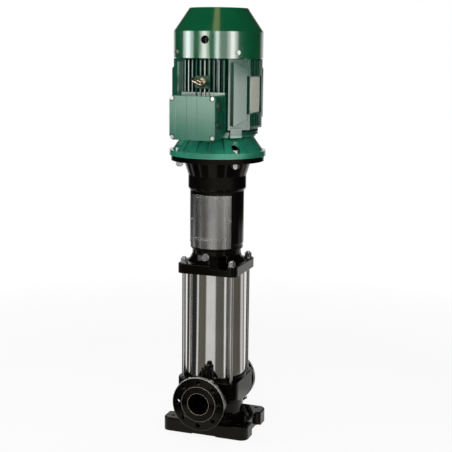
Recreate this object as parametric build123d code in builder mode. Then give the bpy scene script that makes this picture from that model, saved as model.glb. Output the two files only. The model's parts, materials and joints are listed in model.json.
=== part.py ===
from build123d import *
import os
from math import cos, radians, sin, sqrt, tan

# Vertical in-line multistage pump with a flanged motor on top. All sizes are in millimetres.
# The origin is the centre of the base's underside, +Z is up along the shaft and -Y is the suction side.

os.makedirs("parts", exist_ok=True)

# Base plate
base_length = 331
base_width = 248
base_corner_radius = 28
base_height = 50
base_edge_radius = 5
base_bolt_x = 266
base_bolt_y = 190
base_bolt_hole = 14
side_notch_depth = 17
side_notch_width = 104
foot_relief_width = 94
foot_relief_height = 2.5
base_ring_diameter = 244
base_ring_height = 7
core_length = 224
core_width = 150
core_corner_radius = 30
core_depth = 30

# Pump casing and its two ports
port_height = 140
face_to_face = 365
port_bore = 80
port_bore_depth = 82.5
passage_diameter = 76
flange_diameter = 200
flange_thickness = 24
raised_face_diameter = 132
raised_face_height = 2
flange_bolt_circle = 160
flange_bolt_count = 8
flange_bolt_hole = 18
rear_flange_turn = 22.5
nut_seat_diameter = 31
nut_seat_depth = 20
nozzle_diameter = 112
casing_width = 234
casing_corner_radius = 44
casing_rise = 67
neck_diameter = 212
casing_foot_width = 7
casing_foot_height = 9
shoulder_drop = 25
shoulder_angle = 31.5
casing_floor = 88
suction_chamber_diameter = 132
chamber_wall = 10
discharge_ring_diameter = 198
ring_floor_wall = 8
riser_width = 70
seat_rim_height = 12
seat_rim_width = 4.5
spigot_height = 19

# Outer sleeve and tie rods
sleeve_diameter = 224
sleeve_wall = 2.5
sleeve_insertion = 8
seal_ring_section = 4.6
tie_rod_spacing = 184
tie_rod_diameter = 14.8
tie_rod_engagement = 27

# Stages
stage_count = 4
stage_pitch = 80
stage_diameter = 188
stage_wall = 2.5
divider_thickness = 3
impeller_diameter = 144
impeller_eye_diameter = 96
shroud_thickness = 2.5
impeller_width = 14
blade_count = 6
blade_thickness = 3
guide_vane_count = 7
inlet_part_height = 24
pump_shaft_diameter = 28

# Pump head
head_clearance = 35
head_plate_width = 228
head_plate_corner_radius = 24
head_plate_thickness = 36
head_neck_height = 59
head_neck_diameter = 180
head_top_diameter = 194
head_bore_diameter = 128
head_floor_thickness = 22
seal_housing_diameter = 88
access_window_width = 60
access_window_height = 42
access_window_angle = -66
vent_angle = -93

# Motor stool and coupling
stool_height = 332
stool_leg_diameter = 198
stool_bore_diameter = 168
stool_ring_diameter = 212
stool_flange_diameter = 338
stool_flange_thickness = 19
window_half_angle = 42
window_height = 176
guard_half_angle = 51
guard_thickness = 1.2
guard_height = 194
coupling_diameter = 88
coupling_length = 205

# Motor
motor_flange_diameter = 350
motor_flange_thickness = 20
motor_bolt_circle = 300
motor_register_diameter = 250
register_depth = 5
motor_bolt_diameter = 16
bolt_clearance = 1.25
shield_height = 80
frame_length = 273
frame_core_diameter = 276
frame_bore_diameter = 254
fin_reach = 157
fin_thickness = 4
fin_pitch = 16
fin_count = 10
fin_foot_run = 20
fin_foot_rise = 21
fin_head_chamfer = 14
corner_wall_distance = 150
corner_wall_width = 85
corner_wall_shift = 11.5
corner_wall_inset = 9
pad_distance = 165
pad_width = 50
pad_shift = 8
pad_height = 220
stator_length = 170
air_gap = 0.5
rotor_diameter = 163
motor_shaft_diameter = 42
shaft_extension = 110
bearing_bore = 45
bearing_outer = 100
bearing_width = 25
cowl_diameter = 321
cowl_top_diameter = 209
cowl_straight = 92
cowl_taper = 82
cowl_wall = 1.8
cowl_overlap = 7
fan_diameter = 262
fan_blade_count = 8

# Terminal box
box_width = 165
box_height = 150
box_depth = 90
box_front = 256
box_rise = 67
box_corner_radius = 12
box_wall = 5
lid_thickness = 10
gasket_thickness = 1.5

# Fits
press_gap = 0.02
running_gap = 0.05
seal_gap = 0.3
loose_gap = 0.6

# Levels up the pump
casing_foot_level = base_height + base_ring_height
casing_top = port_height + casing_rise
discharge_ring_floor = port_height + port_bore / 2 + ring_floor_wall
shoulder_level = port_height - shoulder_drop
spigot_top = casing_top + spigot_height
stack_level = spigot_top + inlet_part_height
stack_top = stack_level + stage_count * stage_pitch
head_level = stack_top + head_clearance
head_plate_top = head_level + head_plate_thickness
head_top = head_plate_top + head_neck_height
flange_level = head_top + stool_height
motor_flange_top = flange_level + motor_flange_thickness
frame_bottom = flange_level + shield_height
frame_top = frame_bottom + frame_length
cowl_bottom = frame_top - cowl_overlap
cowl_shoulder = cowl_bottom + cowl_straight
cowl_top = cowl_shoulder + cowl_taper
sleeve_bottom = casing_top + seat_rim_height - sleeve_insertion
sleeve_top = head_level + sleeve_insertion / 2
head_floor_level = head_level + head_floor_thickness

# Radii that several pieces share
port_face = face_to_face / 2
flange_front = port_face - raised_face_height
flange_back = flange_front - flange_thickness
sleeve_outer = sleeve_diameter / 2
sleeve_inner = sleeve_outer - sleeve_wall
spigot_radius = sleeve_inner - seal_gap
neck_radius = neck_diameter / 2
shaft_radius = pump_shaft_diameter / 2
stage_radius = stage_diameter / 2
stage_inner = stage_radius - stage_wall
eye_radius = impeller_eye_diameter / 2
core_radius = frame_core_diameter / 2
bore_radius = frame_bore_diameter / 2
leg_radius = stool_leg_diameter / 2
motor_shaft_radius = motor_shaft_diameter / 2
bearing_radius = bearing_outer / 2
bearing_bore_radius = bearing_bore / 2


def radial_plane(angle, radius, height):
    """Plane that faces outwards at an angle round the shaft axis."""
    turn = radians(angle)
    return Plane(
        origin=(radius * cos(turn), radius * sin(turn), height),
        x_dir=(-sin(turn), cos(turn), 0),
        z_dir=(cos(turn), sin(turn), 0),
    )


def port_plane(side, reach):
    """Plane that faces out of a port, with side -1 for suction and 1 for discharge."""
    return Plane(origin=(0, side * reach, port_height), x_dir=(1, 0, 0), z_dir=(0, side, 0))


def half_section(*points):
    """Closed outline of radius and height pairs, ready to be revolved about the shaft axis."""
    with BuildSketch(Plane.XZ) as outline:
        with BuildLine():
            Polyline(*points, close=True)
        make_face()
    return outline.sketch


def curved_blades(level, inner_radius, outer_radius, sweep, thickness, count):
    """Pattern of curved blades between two radii, as flat shapes at one level."""
    middle_radius = (inner_radius + outer_radius) / 2
    with BuildSketch(Plane.XY.offset(level)) as blades:
        for n in range(count):
            start = 360 / count * n
            with BuildLine():
                ThreePointArc(
                    (inner_radius * cos(radians(start)), inner_radius * sin(radians(start))),
                    (
                        middle_radius * cos(radians(start + sweep * 0.4)),
                        middle_radius * sin(radians(start + sweep * 0.4)),
                    ),
                    (
                        outer_radius * cos(radians(start + sweep)),
                        outer_radius * sin(radians(start + sweep)),
                    ),
                )
            trace(line_width=thickness)
    return blades.sketch


# Base plate: a cored casting with four foot pads, notched sides and a raised ring for the casing
casing_screw_circle = 170
casing_screw_diameter = 12
casing_screw_head = 18
casing_screw_length = 40

with BuildPart() as base_plate:
    with BuildSketch():
        RectangleRounded(base_length, base_width, base_corner_radius)
        with Locations((base_length / 2, 0), (-base_length / 2, 0)):
            RectangleRounded(
                2 * side_notch_depth, side_notch_width, side_notch_depth * 0.7, mode=Mode.SUBTRACT
            )
    extrude(amount=base_height)
    fillet(base_plate.faces().sort_by(Axis.Z)[-1].edges(), radius=base_edge_radius)
    with BuildSketch(Plane.XY.offset(base_height - base_edge_radius)):
        Circle(base_ring_diameter / 2 - base_edge_radius)
    extrude(amount=base_ring_height + base_edge_radius)
    with BuildSketch():
        RectangleRounded(core_length, core_width, core_corner_radius)
    extrude(amount=core_depth, mode=Mode.SUBTRACT)
    with BuildSketch():
        Rectangle(foot_relief_width, base_width)
    extrude(amount=foot_relief_height, mode=Mode.SUBTRACT)
    with GridLocations(base_bolt_x, base_bolt_y, 2, 2):
        Hole(radius=base_bolt_hole / 2)
    with PolarLocations(casing_screw_circle / 2, 4, start_angle=45):
        Hole(radius=casing_screw_diameter / 2 + loose_gap)
base_plate.part.label = "base_plate"
export_step(base_plate.part, "parts/base_plate.step")

with BuildPart() as casing_screws:
    with BuildSketch(Plane.XY.offset(core_depth - casing_screw_diameter)):
        with PolarLocations(casing_screw_circle / 2, 4, start_angle=45):
            Circle(casing_screw_head / 2)
    extrude(amount=casing_screw_diameter)
    with BuildSketch(Plane.XY.offset(core_depth)):
        with PolarLocations(casing_screw_circle / 2, 4, start_angle=45):
            Circle(casing_screw_diameter / 2)
    extrude(amount=casing_screw_length)
    with BuildSketch(Plane.XY.offset(core_depth - casing_screw_diameter)):
        with PolarLocations(casing_screw_circle / 2, 4, start_angle=45):
            RegularPolygon(casing_screw_diameter * 0.42, 6, major_radius=False)
    extrude(amount=casing_screw_diameter / 2, mode=Mode.SUBTRACT)
casing_screws.part.label = "casing_screws"
export_step(casing_screws.part, "parts/casing_screws.step")

# Pump casing: round neck, square body with a coned underside, two flanged ports in line
gauge_boss_offset = 16
gauge_boss_reach = 132
gauge_boss_diameter = 42
gauge_boss_rise = 56
gauge_boss_top = casing_top + gauge_boss_rise
gauge_plug_diameter = 20
gauge_plug_depth = 24
drain_angle = 40
drain_level = 98
drain_boss_diameter = 32
drain_reach = neck_radius + 9
drain_plug_diameter = 16
drain_depth = 22
seal_groove_depth = seal_ring_section + 0.1
lower_groove_level = casing_top + 9
port_sides = (-1, 1)
hole_turns = (0, rear_flange_turn)
chamber_radius = suction_chamber_diameter / 2
ring_inner = chamber_radius + chamber_wall
ring_outer = discharge_ring_diameter / 2
passage_ends = (0, ring_inner)

with BuildPart() as pump_casing:
    with BuildSketch(Plane.XY.offset(shoulder_level)):
        RectangleRounded(casing_width, casing_width, casing_corner_radius)
    extrude(amount=casing_top - shoulder_level)
    shoulder_reach = casing_width / sqrt(2)
    shoulder_rise = (shoulder_reach - neck_radius) * tan(radians(shoulder_angle))
    with BuildSketch(Plane.XZ):
        with BuildLine():
            Polyline(
                (0, shoulder_level),
                (neck_radius, shoulder_level),
                (shoulder_reach, shoulder_level + shoulder_rise),
                (shoulder_reach, casing_top),
                (0, casing_top),
                close=True,
            )
        make_face()
    revolve(axis=Axis.Z, mode=Mode.INTERSECT)
    fillet(pump_casing.faces().sort_by(Axis.Z)[-1].edges(), radius=4)
    with BuildSketch(Plane.XY.offset(casing_foot_level)):
        Circle(neck_radius)
    extrude(amount=shoulder_level - casing_foot_level)
    with BuildSketch(Plane.XY.offset(casing_foot_level)):
        Circle(neck_radius + casing_foot_width)
    extrude(amount=casing_foot_height)
    with BuildSketch(Plane.XY.offset(casing_top - 1)):
        Circle(sleeve_outer + seat_rim_width)
    extrude(amount=seat_rim_height + 1)
    with BuildSketch(Plane.XY.offset(casing_top)):
        Circle(spigot_radius)
    extrude(amount=spigot_height)
    for side in port_sides:
        with BuildSketch(port_plane(side, 0)):
            Circle(nozzle_diameter / 2)
        extrude(amount=flange_back)
        with BuildSketch(port_plane(side, flange_back)):
            Circle(flange_diameter / 2)
        extrude(amount=flange_thickness)
        with BuildSketch(port_plane(side, flange_front)):
            Circle(raised_face_diameter / 2)
        extrude(amount=raised_face_height)
        boss_x = -side * gauge_boss_offset
        with BuildSketch(Plane(origin=(boss_x, side * gauge_boss_reach, port_height))):
            Circle(gauge_boss_diameter / 2)
        extrude(amount=gauge_boss_top - port_height)
    with BuildSketch(radial_plane(drain_angle, chamber_radius, drain_level)):
        Circle(drain_boss_diameter / 2)
    extrude(amount=drain_reach - chamber_radius)
    with BuildSketch(Plane.XY.offset(casing_floor)):
        Circle(chamber_radius)
    extrude(amount=spigot_top - casing_floor, mode=Mode.SUBTRACT)
    with BuildSketch(Plane.XY.offset(discharge_ring_floor)):
        Circle(ring_outer)
        Circle(ring_inner, mode=Mode.SUBTRACT)
    extrude(amount=spigot_top - discharge_ring_floor, mode=Mode.SUBTRACT)
    with BuildSketch(Plane.XY.offset(port_height)):
        Circle(ring_outer)
        Circle(ring_inner, mode=Mode.SUBTRACT)
        with Locations((0, ring_outer)):
            Rectangle(riser_width, 2 * ring_outer, mode=Mode.INTERSECT)
    extrude(amount=discharge_ring_floor - port_height, mode=Mode.SUBTRACT)
    for side, hole_turn, passage_end in zip(port_sides, hole_turns, passage_ends):
        with BuildSketch(port_plane(side, port_face)):
            Circle(port_bore / 2)
        extrude(amount=-port_bore_depth, mode=Mode.SUBTRACT)
        with BuildSketch(port_plane(side, port_face)):
            Circle(passage_diameter / 2)
        extrude(amount=passage_end - port_face, mode=Mode.SUBTRACT)
        with BuildSketch(port_plane(side, flange_front)):
            with PolarLocations(flange_bolt_circle / 2, flange_bolt_count, start_angle=hole_turn):
                Circle(flange_bolt_hole / 2)
        extrude(amount=-flange_thickness, mode=Mode.SUBTRACT)
        with BuildSketch(port_plane(side, flange_back)):
            with PolarLocations(flange_bolt_circle / 2, flange_bolt_count, start_angle=hole_turn):
                Circle(nut_seat_diameter / 2)
        extrude(amount=-nut_seat_depth, mode=Mode.SUBTRACT)
        boss_x = -side * gauge_boss_offset
        with BuildSketch(Plane(origin=(boss_x, side * gauge_boss_reach, gauge_boss_top))):
            Circle(gauge_plug_diameter / 2 + press_gap)
        extrude(amount=-gauge_plug_depth, mode=Mode.SUBTRACT)
    with BuildSketch(radial_plane(drain_angle, drain_reach, drain_level)):
        Circle(drain_plug_diameter / 2 + press_gap)
    extrude(amount=-drain_depth, mode=Mode.SUBTRACT)
    with BuildSketch(Plane.XY.offset(sleeve_bottom)):
        Circle(sleeve_outer + seal_gap)
        Circle(spigot_radius, mode=Mode.SUBTRACT)
    extrude(amount=seat_rim_height, mode=Mode.SUBTRACT)
    with BuildSketch(Plane.XY.offset(lower_groove_level)):
        Circle(sleeve_inner)
        Circle(sleeve_inner - seal_groove_depth, mode=Mode.SUBTRACT)
    extrude(amount=seal_ring_section + loose_gap, mode=Mode.SUBTRACT)
    with BuildSketch(Plane.XY.offset(casing_top - tie_rod_engagement)):
        with GridLocations(tie_rod_spacing, tie_rod_spacing, 2, 2):
            Circle(tie_rod_diameter / 2 + press_gap)
    extrude(amount=tie_rod_engagement, mode=Mode.SUBTRACT)
    with BuildSketch(Plane.XY.offset(casing_foot_level)):
        with PolarLocations(casing_screw_circle / 2, 4, start_angle=45):
            Circle(casing_screw_diameter / 2 + press_gap)
    extrude(amount=casing_screw_length + core_depth - casing_foot_level, mode=Mode.SUBTRACT)
pump_casing.part.label = "pump_casing"
export_step(pump_casing.part, "parts/pump_casing.step")

# Gauge plugs and drain plug: a threaded shank, a collar and a hexagon head
plug_collar_height = 3
plug_head_height = 10
plug_hex = 24

with BuildPart() as gauge_plugs:
    for side in port_sides:
        boss_x = -side * gauge_boss_offset
        boss_face = Plane(origin=(boss_x, side * gauge_boss_reach, gauge_boss_top))
        with BuildSketch(boss_face):
            Circle(gauge_plug_diameter / 2)
        extrude(amount=-gauge_plug_depth * 0.75)
        with BuildSketch(boss_face):
            Circle(plug_hex * 0.68)
        extrude(amount=plug_collar_height)
        with BuildSketch(boss_face.offset(plug_collar_height)):
            RegularPolygon(plug_hex / 2, 6, major_radius=False)
        extrude(amount=plug_head_height)
gauge_plugs.part.label = "gauge_plugs"
export_step(gauge_plugs.part, "parts/gauge_plugs.step")

with BuildPart() as drain_plug:
    with BuildSketch(radial_plane(drain_angle, drain_reach, drain_level)):
        Circle(drain_plug_diameter / 2)
    extrude(amount=-drain_depth * 0.75)
    with BuildSketch(radial_plane(drain_angle, drain_reach, drain_level)):
        Circle(drain_plug_diameter * 0.8)
    extrude(amount=plug_collar_height)
    with BuildSketch(radial_plane(drain_angle, drain_reach + plug_collar_height, drain_level)):
        RegularPolygon(drain_plug_diameter * 0.62, 6, major_radius=False)
    extrude(amount=plug_head_height * 0.8)
drain_plug.part.label = "drain_plug"
export_step(drain_plug.part, "parts/drain_plug.step")

# Outer sleeve, its two seal rings and the tie rods with washers and nuts
with BuildPart() as outer_sleeve:
    with BuildSketch(Plane.XY.offset(sleeve_bottom)):
        Circle(sleeve_outer)
        Circle(sleeve_inner, mode=Mode.SUBTRACT)
    extrude(amount=sleeve_top - sleeve_bottom)
outer_sleeve.part.label = "outer_sleeve"
export_step(outer_sleeve.part, "parts/outer_sleeve.step")

head_spigot_depth = 17
upper_groove_level = head_level - 12
seal_ring_centre = sleeve_inner - seal_groove_depth / 2

with BuildPart() as sleeve_seal_rings:
    for level in (lower_groove_level, upper_groove_level):
        with BuildSketch(Plane.XZ):
            with Locations((seal_ring_centre, level + (seal_ring_section + loose_gap) / 2)):
                Circle(seal_ring_section / 2)
        revolve(axis=Axis.Z)
sleeve_seal_rings.part.label = "sleeve_seal_rings"
export_step(sleeve_seal_rings.part, "parts/sleeve_seal_rings.step")

washer_diameter = 30
washer_thickness = 3
nut_hex = 24
nut_height = 14
rod_overhang = 6

with BuildPart() as tie_rods:
    with BuildSketch(Plane.XY.offset(casing_top - tie_rod_engagement)):
        with GridLocations(tie_rod_spacing, tie_rod_spacing, 2, 2):
            Circle(tie_rod_diameter / 2)
    extrude(
        amount=head_plate_top + washer_thickness + nut_height + rod_overhang
        - casing_top + tie_rod_engagement
    )
    chamfer(tie_rods.faces().group_by(Axis.Z)[-1].edges(), length=1.5)
tie_rods.part.label = "tie_rods"
export_step(tie_rods.part, "parts/tie_rods.step")

with BuildPart() as tie_rod_washers:
    with BuildSketch(Plane.XY.offset(head_plate_top)):
        with GridLocations(tie_rod_spacing, tie_rod_spacing, 2, 2):
            Circle(washer_diameter / 2)
            Circle(tie_rod_diameter / 2 + seal_gap, mode=Mode.SUBTRACT)
    extrude(amount=washer_thickness)
tie_rod_washers.part.label = "tie_rod_washers"
export_step(tie_rod_washers.part, "parts/tie_rod_washers.step")

with BuildPart() as tie_rod_nuts:
    with BuildSketch(Plane.XY.offset(head_plate_top + washer_thickness)):
        with GridLocations(tie_rod_spacing, tie_rod_spacing, 2, 2):
            RegularPolygon(nut_hex / 2, 6, major_radius=False)
            Circle(tie_rod_diameter / 2 + press_gap, mode=Mode.SUBTRACT)
    extrude(amount=nut_height)
tie_rod_nuts.part.label = "tie_rod_nuts"
export_step(tie_rod_nuts.part, "parts/tie_rod_nuts.step")

# Inlet part: a funnel from the suction chamber to the first impeller's eye
inlet_outer = ring_inner - 1
inlet_inner = chamber_radius - 8
neck_bore = eye_radius + seal_gap

with BuildPart() as inlet_part:
    revolve(
        half_section(
            (inlet_inner, spigot_top),
            (inlet_outer, spigot_top),
            (stage_radius, stack_level - divider_thickness),
            (stage_radius, stack_level),
            (neck_bore, stack_level),
            (neck_bore, stack_level - divider_thickness),
            (neck_bore + 6, stack_level - divider_thickness),
        ),
        axis=Axis.Z,
    )
inlet_part.part.label = "inlet_part"
export_step(inlet_part.part, "parts/inlet_part.step")

# Chambers: a shell, a top plate with the next neck ring, and guide vanes on a diaphragm
diaphragm_level = 44
diaphragm_radius = stage_inner - 7
shaft_sleeve_radius = shaft_radius + 6
vane_inner = eye_radius + 3
journal_radius = shaft_sleeve_radius + running_gap

for stage in range(stage_count):
    floor = stack_level + stage * stage_pitch
    ceiling = floor + stage_pitch
    with BuildPart() as chamber:
        with BuildSketch(Plane.XY.offset(floor)):
            Circle(stage_radius)
            Circle(stage_inner, mode=Mode.SUBTRACT)
        extrude(amount=stage_pitch)
        with BuildSketch(Plane.XY.offset(ceiling - divider_thickness)):
            Circle(stage_radius)
            Circle(neck_bore, mode=Mode.SUBTRACT)
        extrude(amount=divider_thickness)
        with BuildSketch(Plane.XY.offset(floor + diaphragm_level)):
            Circle(diaphragm_radius)
            Circle(journal_radius, mode=Mode.SUBTRACT)
        extrude(amount=divider_thickness)
        vane_level = floor + diaphragm_level + divider_thickness
        extrude(
            curved_blades(
                vane_level, vane_inner, diaphragm_radius - 1, 38, blade_thickness, guide_vane_count
            ),
            amount=ceiling - divider_thickness - vane_level,
        )
    chamber.part.label = f"chamber_{stage + 1}"
    export_step(chamber.part, f"parts/chamber_{stage + 1}.step")

# Impellers: closed, with an eye skirt, two shrouds, swept blades and a hub on the shaft
hub_radius = shaft_radius + 10
skirt_height = 6
back_level = 36
outlet_radius = impeller_diameter / 2
blade_lead = hub_radius + 14

for stage in range(stage_count):
    floor = stack_level + stage * stage_pitch
    back = floor + back_level
    outlet = back - impeller_width
    eye_top = floor + 8
    front_line = (
        (eye_radius - shroud_thickness, floor - divider_thickness),
        (eye_radius - shroud_thickness, eye_top),
        (outlet_radius, outlet),
    )
    with BuildPart() as impeller:
        extrude(
            curved_blades(eye_top, blade_lead, outlet_radius - 1, 75, blade_thickness, blade_count),
            amount=back - eye_top,
        )
        revolve(
            half_section(
                (shaft_radius, floor),
                (eye_radius - shroud_thickness / 2, eye_top),
                (outlet_radius, outlet - shroud_thickness / 2),
                (outlet_radius, back),
                (shaft_radius, back),
            ),
            axis=Axis.Z,
            mode=Mode.INTERSECT,
        )
        revolve(
            half_section(
                *front_line,
                (outlet_radius, outlet - shroud_thickness),
                (eye_radius, eye_top - shroud_thickness),
                (eye_radius, floor - divider_thickness),
            ),
            axis=Axis.Z,
        )
        revolve(
            half_section(
                (shaft_radius + press_gap, back - impeller_width),
                (hub_radius - 4, back - impeller_width),
                (hub_radius + 4, back - shroud_thickness),
                (outlet_radius, back - shroud_thickness),
                (outlet_radius, back),
                (shaft_radius + press_gap, back),
            ),
            axis=Axis.Z,
        )
    impeller.part.label = f"impeller_{stage + 1}"
    export_step(impeller.part, f"parts/impeller_{stage + 1}.step")

# Shaft sleeves between the impellers, which run in the chambers' diaphragms
with BuildPart() as shaft_sleeves:
    for stage in range(stage_count):
        floor = stack_level + stage * stage_pitch
        with BuildSketch(Plane.XY.offset(floor + back_level)):
            Circle(shaft_sleeve_radius)
            Circle(shaft_radius + press_gap, mode=Mode.SUBTRACT)
        extrude(amount=stage_pitch - impeller_width)
shaft_sleeves.part.label = "shaft_sleeves"
export_step(shaft_sleeves.part, "parts/shaft_sleeves.step")

# Pump head: square plate, neck, seal housing and the access windows to the seal
window_level = head_floor_level + 2
vent_level = head_plate_top + 27
vent_boss_diameter = 36
vent_reach = head_neck_diameter / 2 + 8
vent_plug_diameter = 14
vent_depth = 20
seal_housing_top = head_plate_top + 22
seal_bore_radius = shaft_radius + 13
shaft_opening = shaft_radius + 3
flare_radius = 36
flare_drop = 3
flare_foot = head_plate_top - flare_drop
flare_top = head_plate_top + flare_radius - 2 * flare_drop
flare_reach = head_plate_width / 2 - flare_drop
head_wall = head_bore_diameter / 2
stool_screw_circle = 150
stool_screw_diameter = 10
stool_screw_depth = 20
seal_plate_thickness = 8
seal_screw_circle = 68
seal_screw_diameter = 5
seal_screw_depth = 12
rod_clearance = 1.2
rod_hole_radius = tie_rod_diameter / 2 + rod_clearance
seal_chamber_floor = head_level + 6
skirt_slot_width = 44
skirt_slot_height = 16
neck_rim_height = 8
neck_rim_slope = 4
neck_top = head_top - neck_rim_height - neck_rim_slope
vent_trench_width = vent_boss_diameter - 8

with BuildPart() as pump_head:
    with BuildSketch(Plane.XY.offset(head_level)):
        RectangleRounded(head_plate_width, head_plate_width, head_plate_corner_radius)
    extrude(amount=head_plate_thickness)
    fillet(pump_head.faces().sort_by(Axis.Z)[-1].edges(), radius=3)
    with BuildSketch(Plane.XZ):
        with BuildLine():
            Line((0, flare_foot - 1), (0, head_top))
            Line((0, head_top), (head_top_diameter / 2, head_top))
            Line((head_top_diameter / 2, head_top), (head_top_diameter / 2, head_top - neck_rim_height))
            Line((head_top_diameter / 2, head_top - neck_rim_height), (head_neck_diameter / 2, neck_top))
            Line((head_neck_diameter / 2, neck_top), (head_neck_diameter / 2, flare_top))
            ThreePointArc(
                (head_neck_diameter / 2, flare_top),
                (head_neck_diameter / 2 + flare_radius * 0.22, head_plate_top + flare_radius * 0.32),
                (flare_reach, flare_foot),
            )
            Line((flare_reach, flare_foot), (flare_reach, flare_foot - 1))
            Line((flare_reach, flare_foot - 1), (0, flare_foot - 1))
        make_face()
    revolve(axis=Axis.Z)
    with BuildSketch(Plane.XY.offset(head_level - head_spigot_depth)):
        Circle(spigot_radius)
    extrude(amount=head_spigot_depth)
    with BuildSketch(Plane.XY.offset(stack_top)):
        Circle(stage_radius)
    extrude(amount=head_level - stack_top)
    with BuildSketch(radial_plane(vent_angle, head_wall, vent_level)):
        Circle(vent_boss_diameter / 2)
    extrude(amount=vent_reach - head_wall)
    with BuildSketch(Plane.XY.offset(head_floor_level)):
        Circle(head_wall)
        Circle(seal_housing_diameter / 2, mode=Mode.SUBTRACT)
        with Locations(Plane.XY.rotated((0, 0, vent_angle))):
            with Locations(((head_wall + seal_housing_diameter / 2) / 2, 0)):
                Rectangle(
                    head_wall - seal_housing_diameter / 2 + 8, vent_trench_width, mode=Mode.SUBTRACT
                )
    extrude(amount=head_top - head_floor_level, mode=Mode.SUBTRACT)
    with BuildSketch(Plane.XY.offset(seal_housing_top)):
        Circle(head_wall - 1)
    extrude(amount=head_top - seal_housing_top, mode=Mode.SUBTRACT)
    with BuildSketch(Plane.XY.offset(stack_top)):
        Circle(stage_inner - 6)
    extrude(amount=head_level - 4 - stack_top, mode=Mode.SUBTRACT)
    with PolarLocations(0, 4, start_angle=45):
        with Locations((stage_radius, 0, stack_top + skirt_slot_height / 2)):
            Box(24, skirt_slot_width, skirt_slot_height, mode=Mode.SUBTRACT)
    with BuildSketch(Plane.XY.offset(stack_top)):
        Circle(shaft_opening)
    extrude(amount=head_top - stack_top, mode=Mode.SUBTRACT)
    with BuildSketch(Plane.XY.offset(seal_chamber_floor)):
        Circle(seal_bore_radius)
    extrude(amount=seal_housing_top - seal_chamber_floor, mode=Mode.SUBTRACT)
    for angle in (access_window_angle, access_window_angle + 180):
        window_height_centre = window_level + access_window_height / 2
        with BuildSketch(radial_plane(angle, seal_housing_diameter / 2 + 4, window_height_centre)):
            Rectangle(access_window_width, access_window_height)
        extrude(amount=head_plate_width, mode=Mode.SUBTRACT)
    with BuildSketch(Plane.XY.offset(head_level)):
        Circle(sleeve_outer + seal_gap)
        Circle(spigot_radius, mode=Mode.SUBTRACT)
    extrude(amount=sleeve_insertion / 2, mode=Mode.SUBTRACT)
    with BuildSketch(Plane.XY.offset(upper_groove_level)):
        Circle(sleeve_inner)
        Circle(sleeve_inner - seal_groove_depth, mode=Mode.SUBTRACT)
    extrude(amount=seal_ring_section + loose_gap, mode=Mode.SUBTRACT)
    with BuildSketch(Plane.XY.offset(head_level)):
        with GridLocations(tie_rod_spacing, tie_rod_spacing, 2, 2):
            Circle(rod_hole_radius)
    extrude(amount=head_plate_thickness, mode=Mode.SUBTRACT)
    with BuildSketch(radial_plane(vent_angle, vent_reach, vent_level)):
        Circle(vent_plug_diameter / 2 + press_gap)
    extrude(amount=-vent_depth, mode=Mode.SUBTRACT)
    with BuildSketch(Plane.XY.offset(head_top)):
        with PolarLocations(stool_screw_circle / 2, 4, start_angle=45):
            Circle(stool_screw_diameter / 2 + press_gap)
    extrude(amount=-stool_screw_depth, mode=Mode.SUBTRACT)
    with BuildSketch(Plane.XY.offset(seal_housing_top)):
        with PolarLocations(seal_screw_circle / 2, 4):
            Circle(seal_screw_diameter / 2 + press_gap)
    extrude(amount=-seal_screw_depth, mode=Mode.SUBTRACT)
pump_head.part.label = "pump_head"
export_step(pump_head.part, "parts/pump_head.step")

with BuildPart() as vent_plug:
    with BuildSketch(radial_plane(vent_angle, vent_reach, vent_level)):
        Circle(vent_plug_diameter / 2)
    extrude(amount=-vent_depth * 0.75)
    with BuildSketch(radial_plane(vent_angle, vent_reach, vent_level)):
        Circle(vent_plug_diameter * 0.95)
    extrude(amount=plug_collar_height)
    with BuildSketch(radial_plane(vent_angle, vent_reach + plug_collar_height, vent_level)):
        RegularPolygon(vent_plug_diameter * 0.8, 6, major_radius=False)
    extrude(amount=plug_head_height)
vent_plug.part.label = "vent_plug"
export_step(vent_plug.part, "parts/vent_plug.step")

# Shaft seal: a rotating ring on the shaft, a stationary seat in a cover plate, and the cover's screws
seal_seat_level = seal_housing_top - 10
seal_cover_diameter = 80
seal_ring_foot = seal_chamber_floor + 3
seal_ring_width = 9
seal_seat_clearance = 2

with BuildPart() as seal_ring:
    with BuildSketch(Plane.XY.offset(seal_ring_foot)):
        Circle(shaft_radius + seal_ring_width)
        Circle(shaft_radius + press_gap, mode=Mode.SUBTRACT)
    extrude(amount=seal_seat_level - seal_ring_foot - running_gap)
seal_ring.part.label = "seal_ring"
export_step(seal_ring.part, "parts/seal_ring.step")

with BuildPart() as seal_seat:
    with BuildSketch(Plane.XY.offset(seal_seat_level)):
        Circle(seal_bore_radius - press_gap)
        Circle(shaft_radius + seal_seat_clearance, mode=Mode.SUBTRACT)
    extrude(amount=seal_housing_top - seal_seat_level)
seal_seat.part.label = "seal_seat"
export_step(seal_seat.part, "parts/seal_seat.step")

with BuildPart() as seal_cover:
    with BuildSketch(Plane.XY.offset(seal_housing_top)):
        Circle(seal_cover_diameter / 2)
        Circle(shaft_radius + seal_seat_clearance, mode=Mode.SUBTRACT)
        with PolarLocations(seal_screw_circle / 2, 4):
            Circle(seal_screw_diameter / 2 + seal_gap, mode=Mode.SUBTRACT)
    extrude(amount=seal_plate_thickness)
seal_cover.part.label = "seal_cover"
export_step(seal_cover.part, "parts/seal_cover.step")

with BuildPart() as seal_cover_screws:
    with BuildSketch(Plane.XY.offset(seal_housing_top + seal_plate_thickness)):
        with PolarLocations(seal_screw_circle / 2, 4):
            Circle(seal_screw_diameter * 0.85)
    extrude(amount=seal_screw_diameter)
    with BuildSketch(Plane.XY.offset(seal_housing_top + seal_plate_thickness)):
        with PolarLocations(seal_screw_circle / 2, 4):
            Circle(seal_screw_diameter / 2)
    extrude(amount=-seal_plate_thickness - seal_screw_depth * 0.8)
seal_cover_screws.part.label = "seal_cover_screws"
export_step(seal_cover_screws.part, "parts/seal_cover_screws.step")

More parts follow.
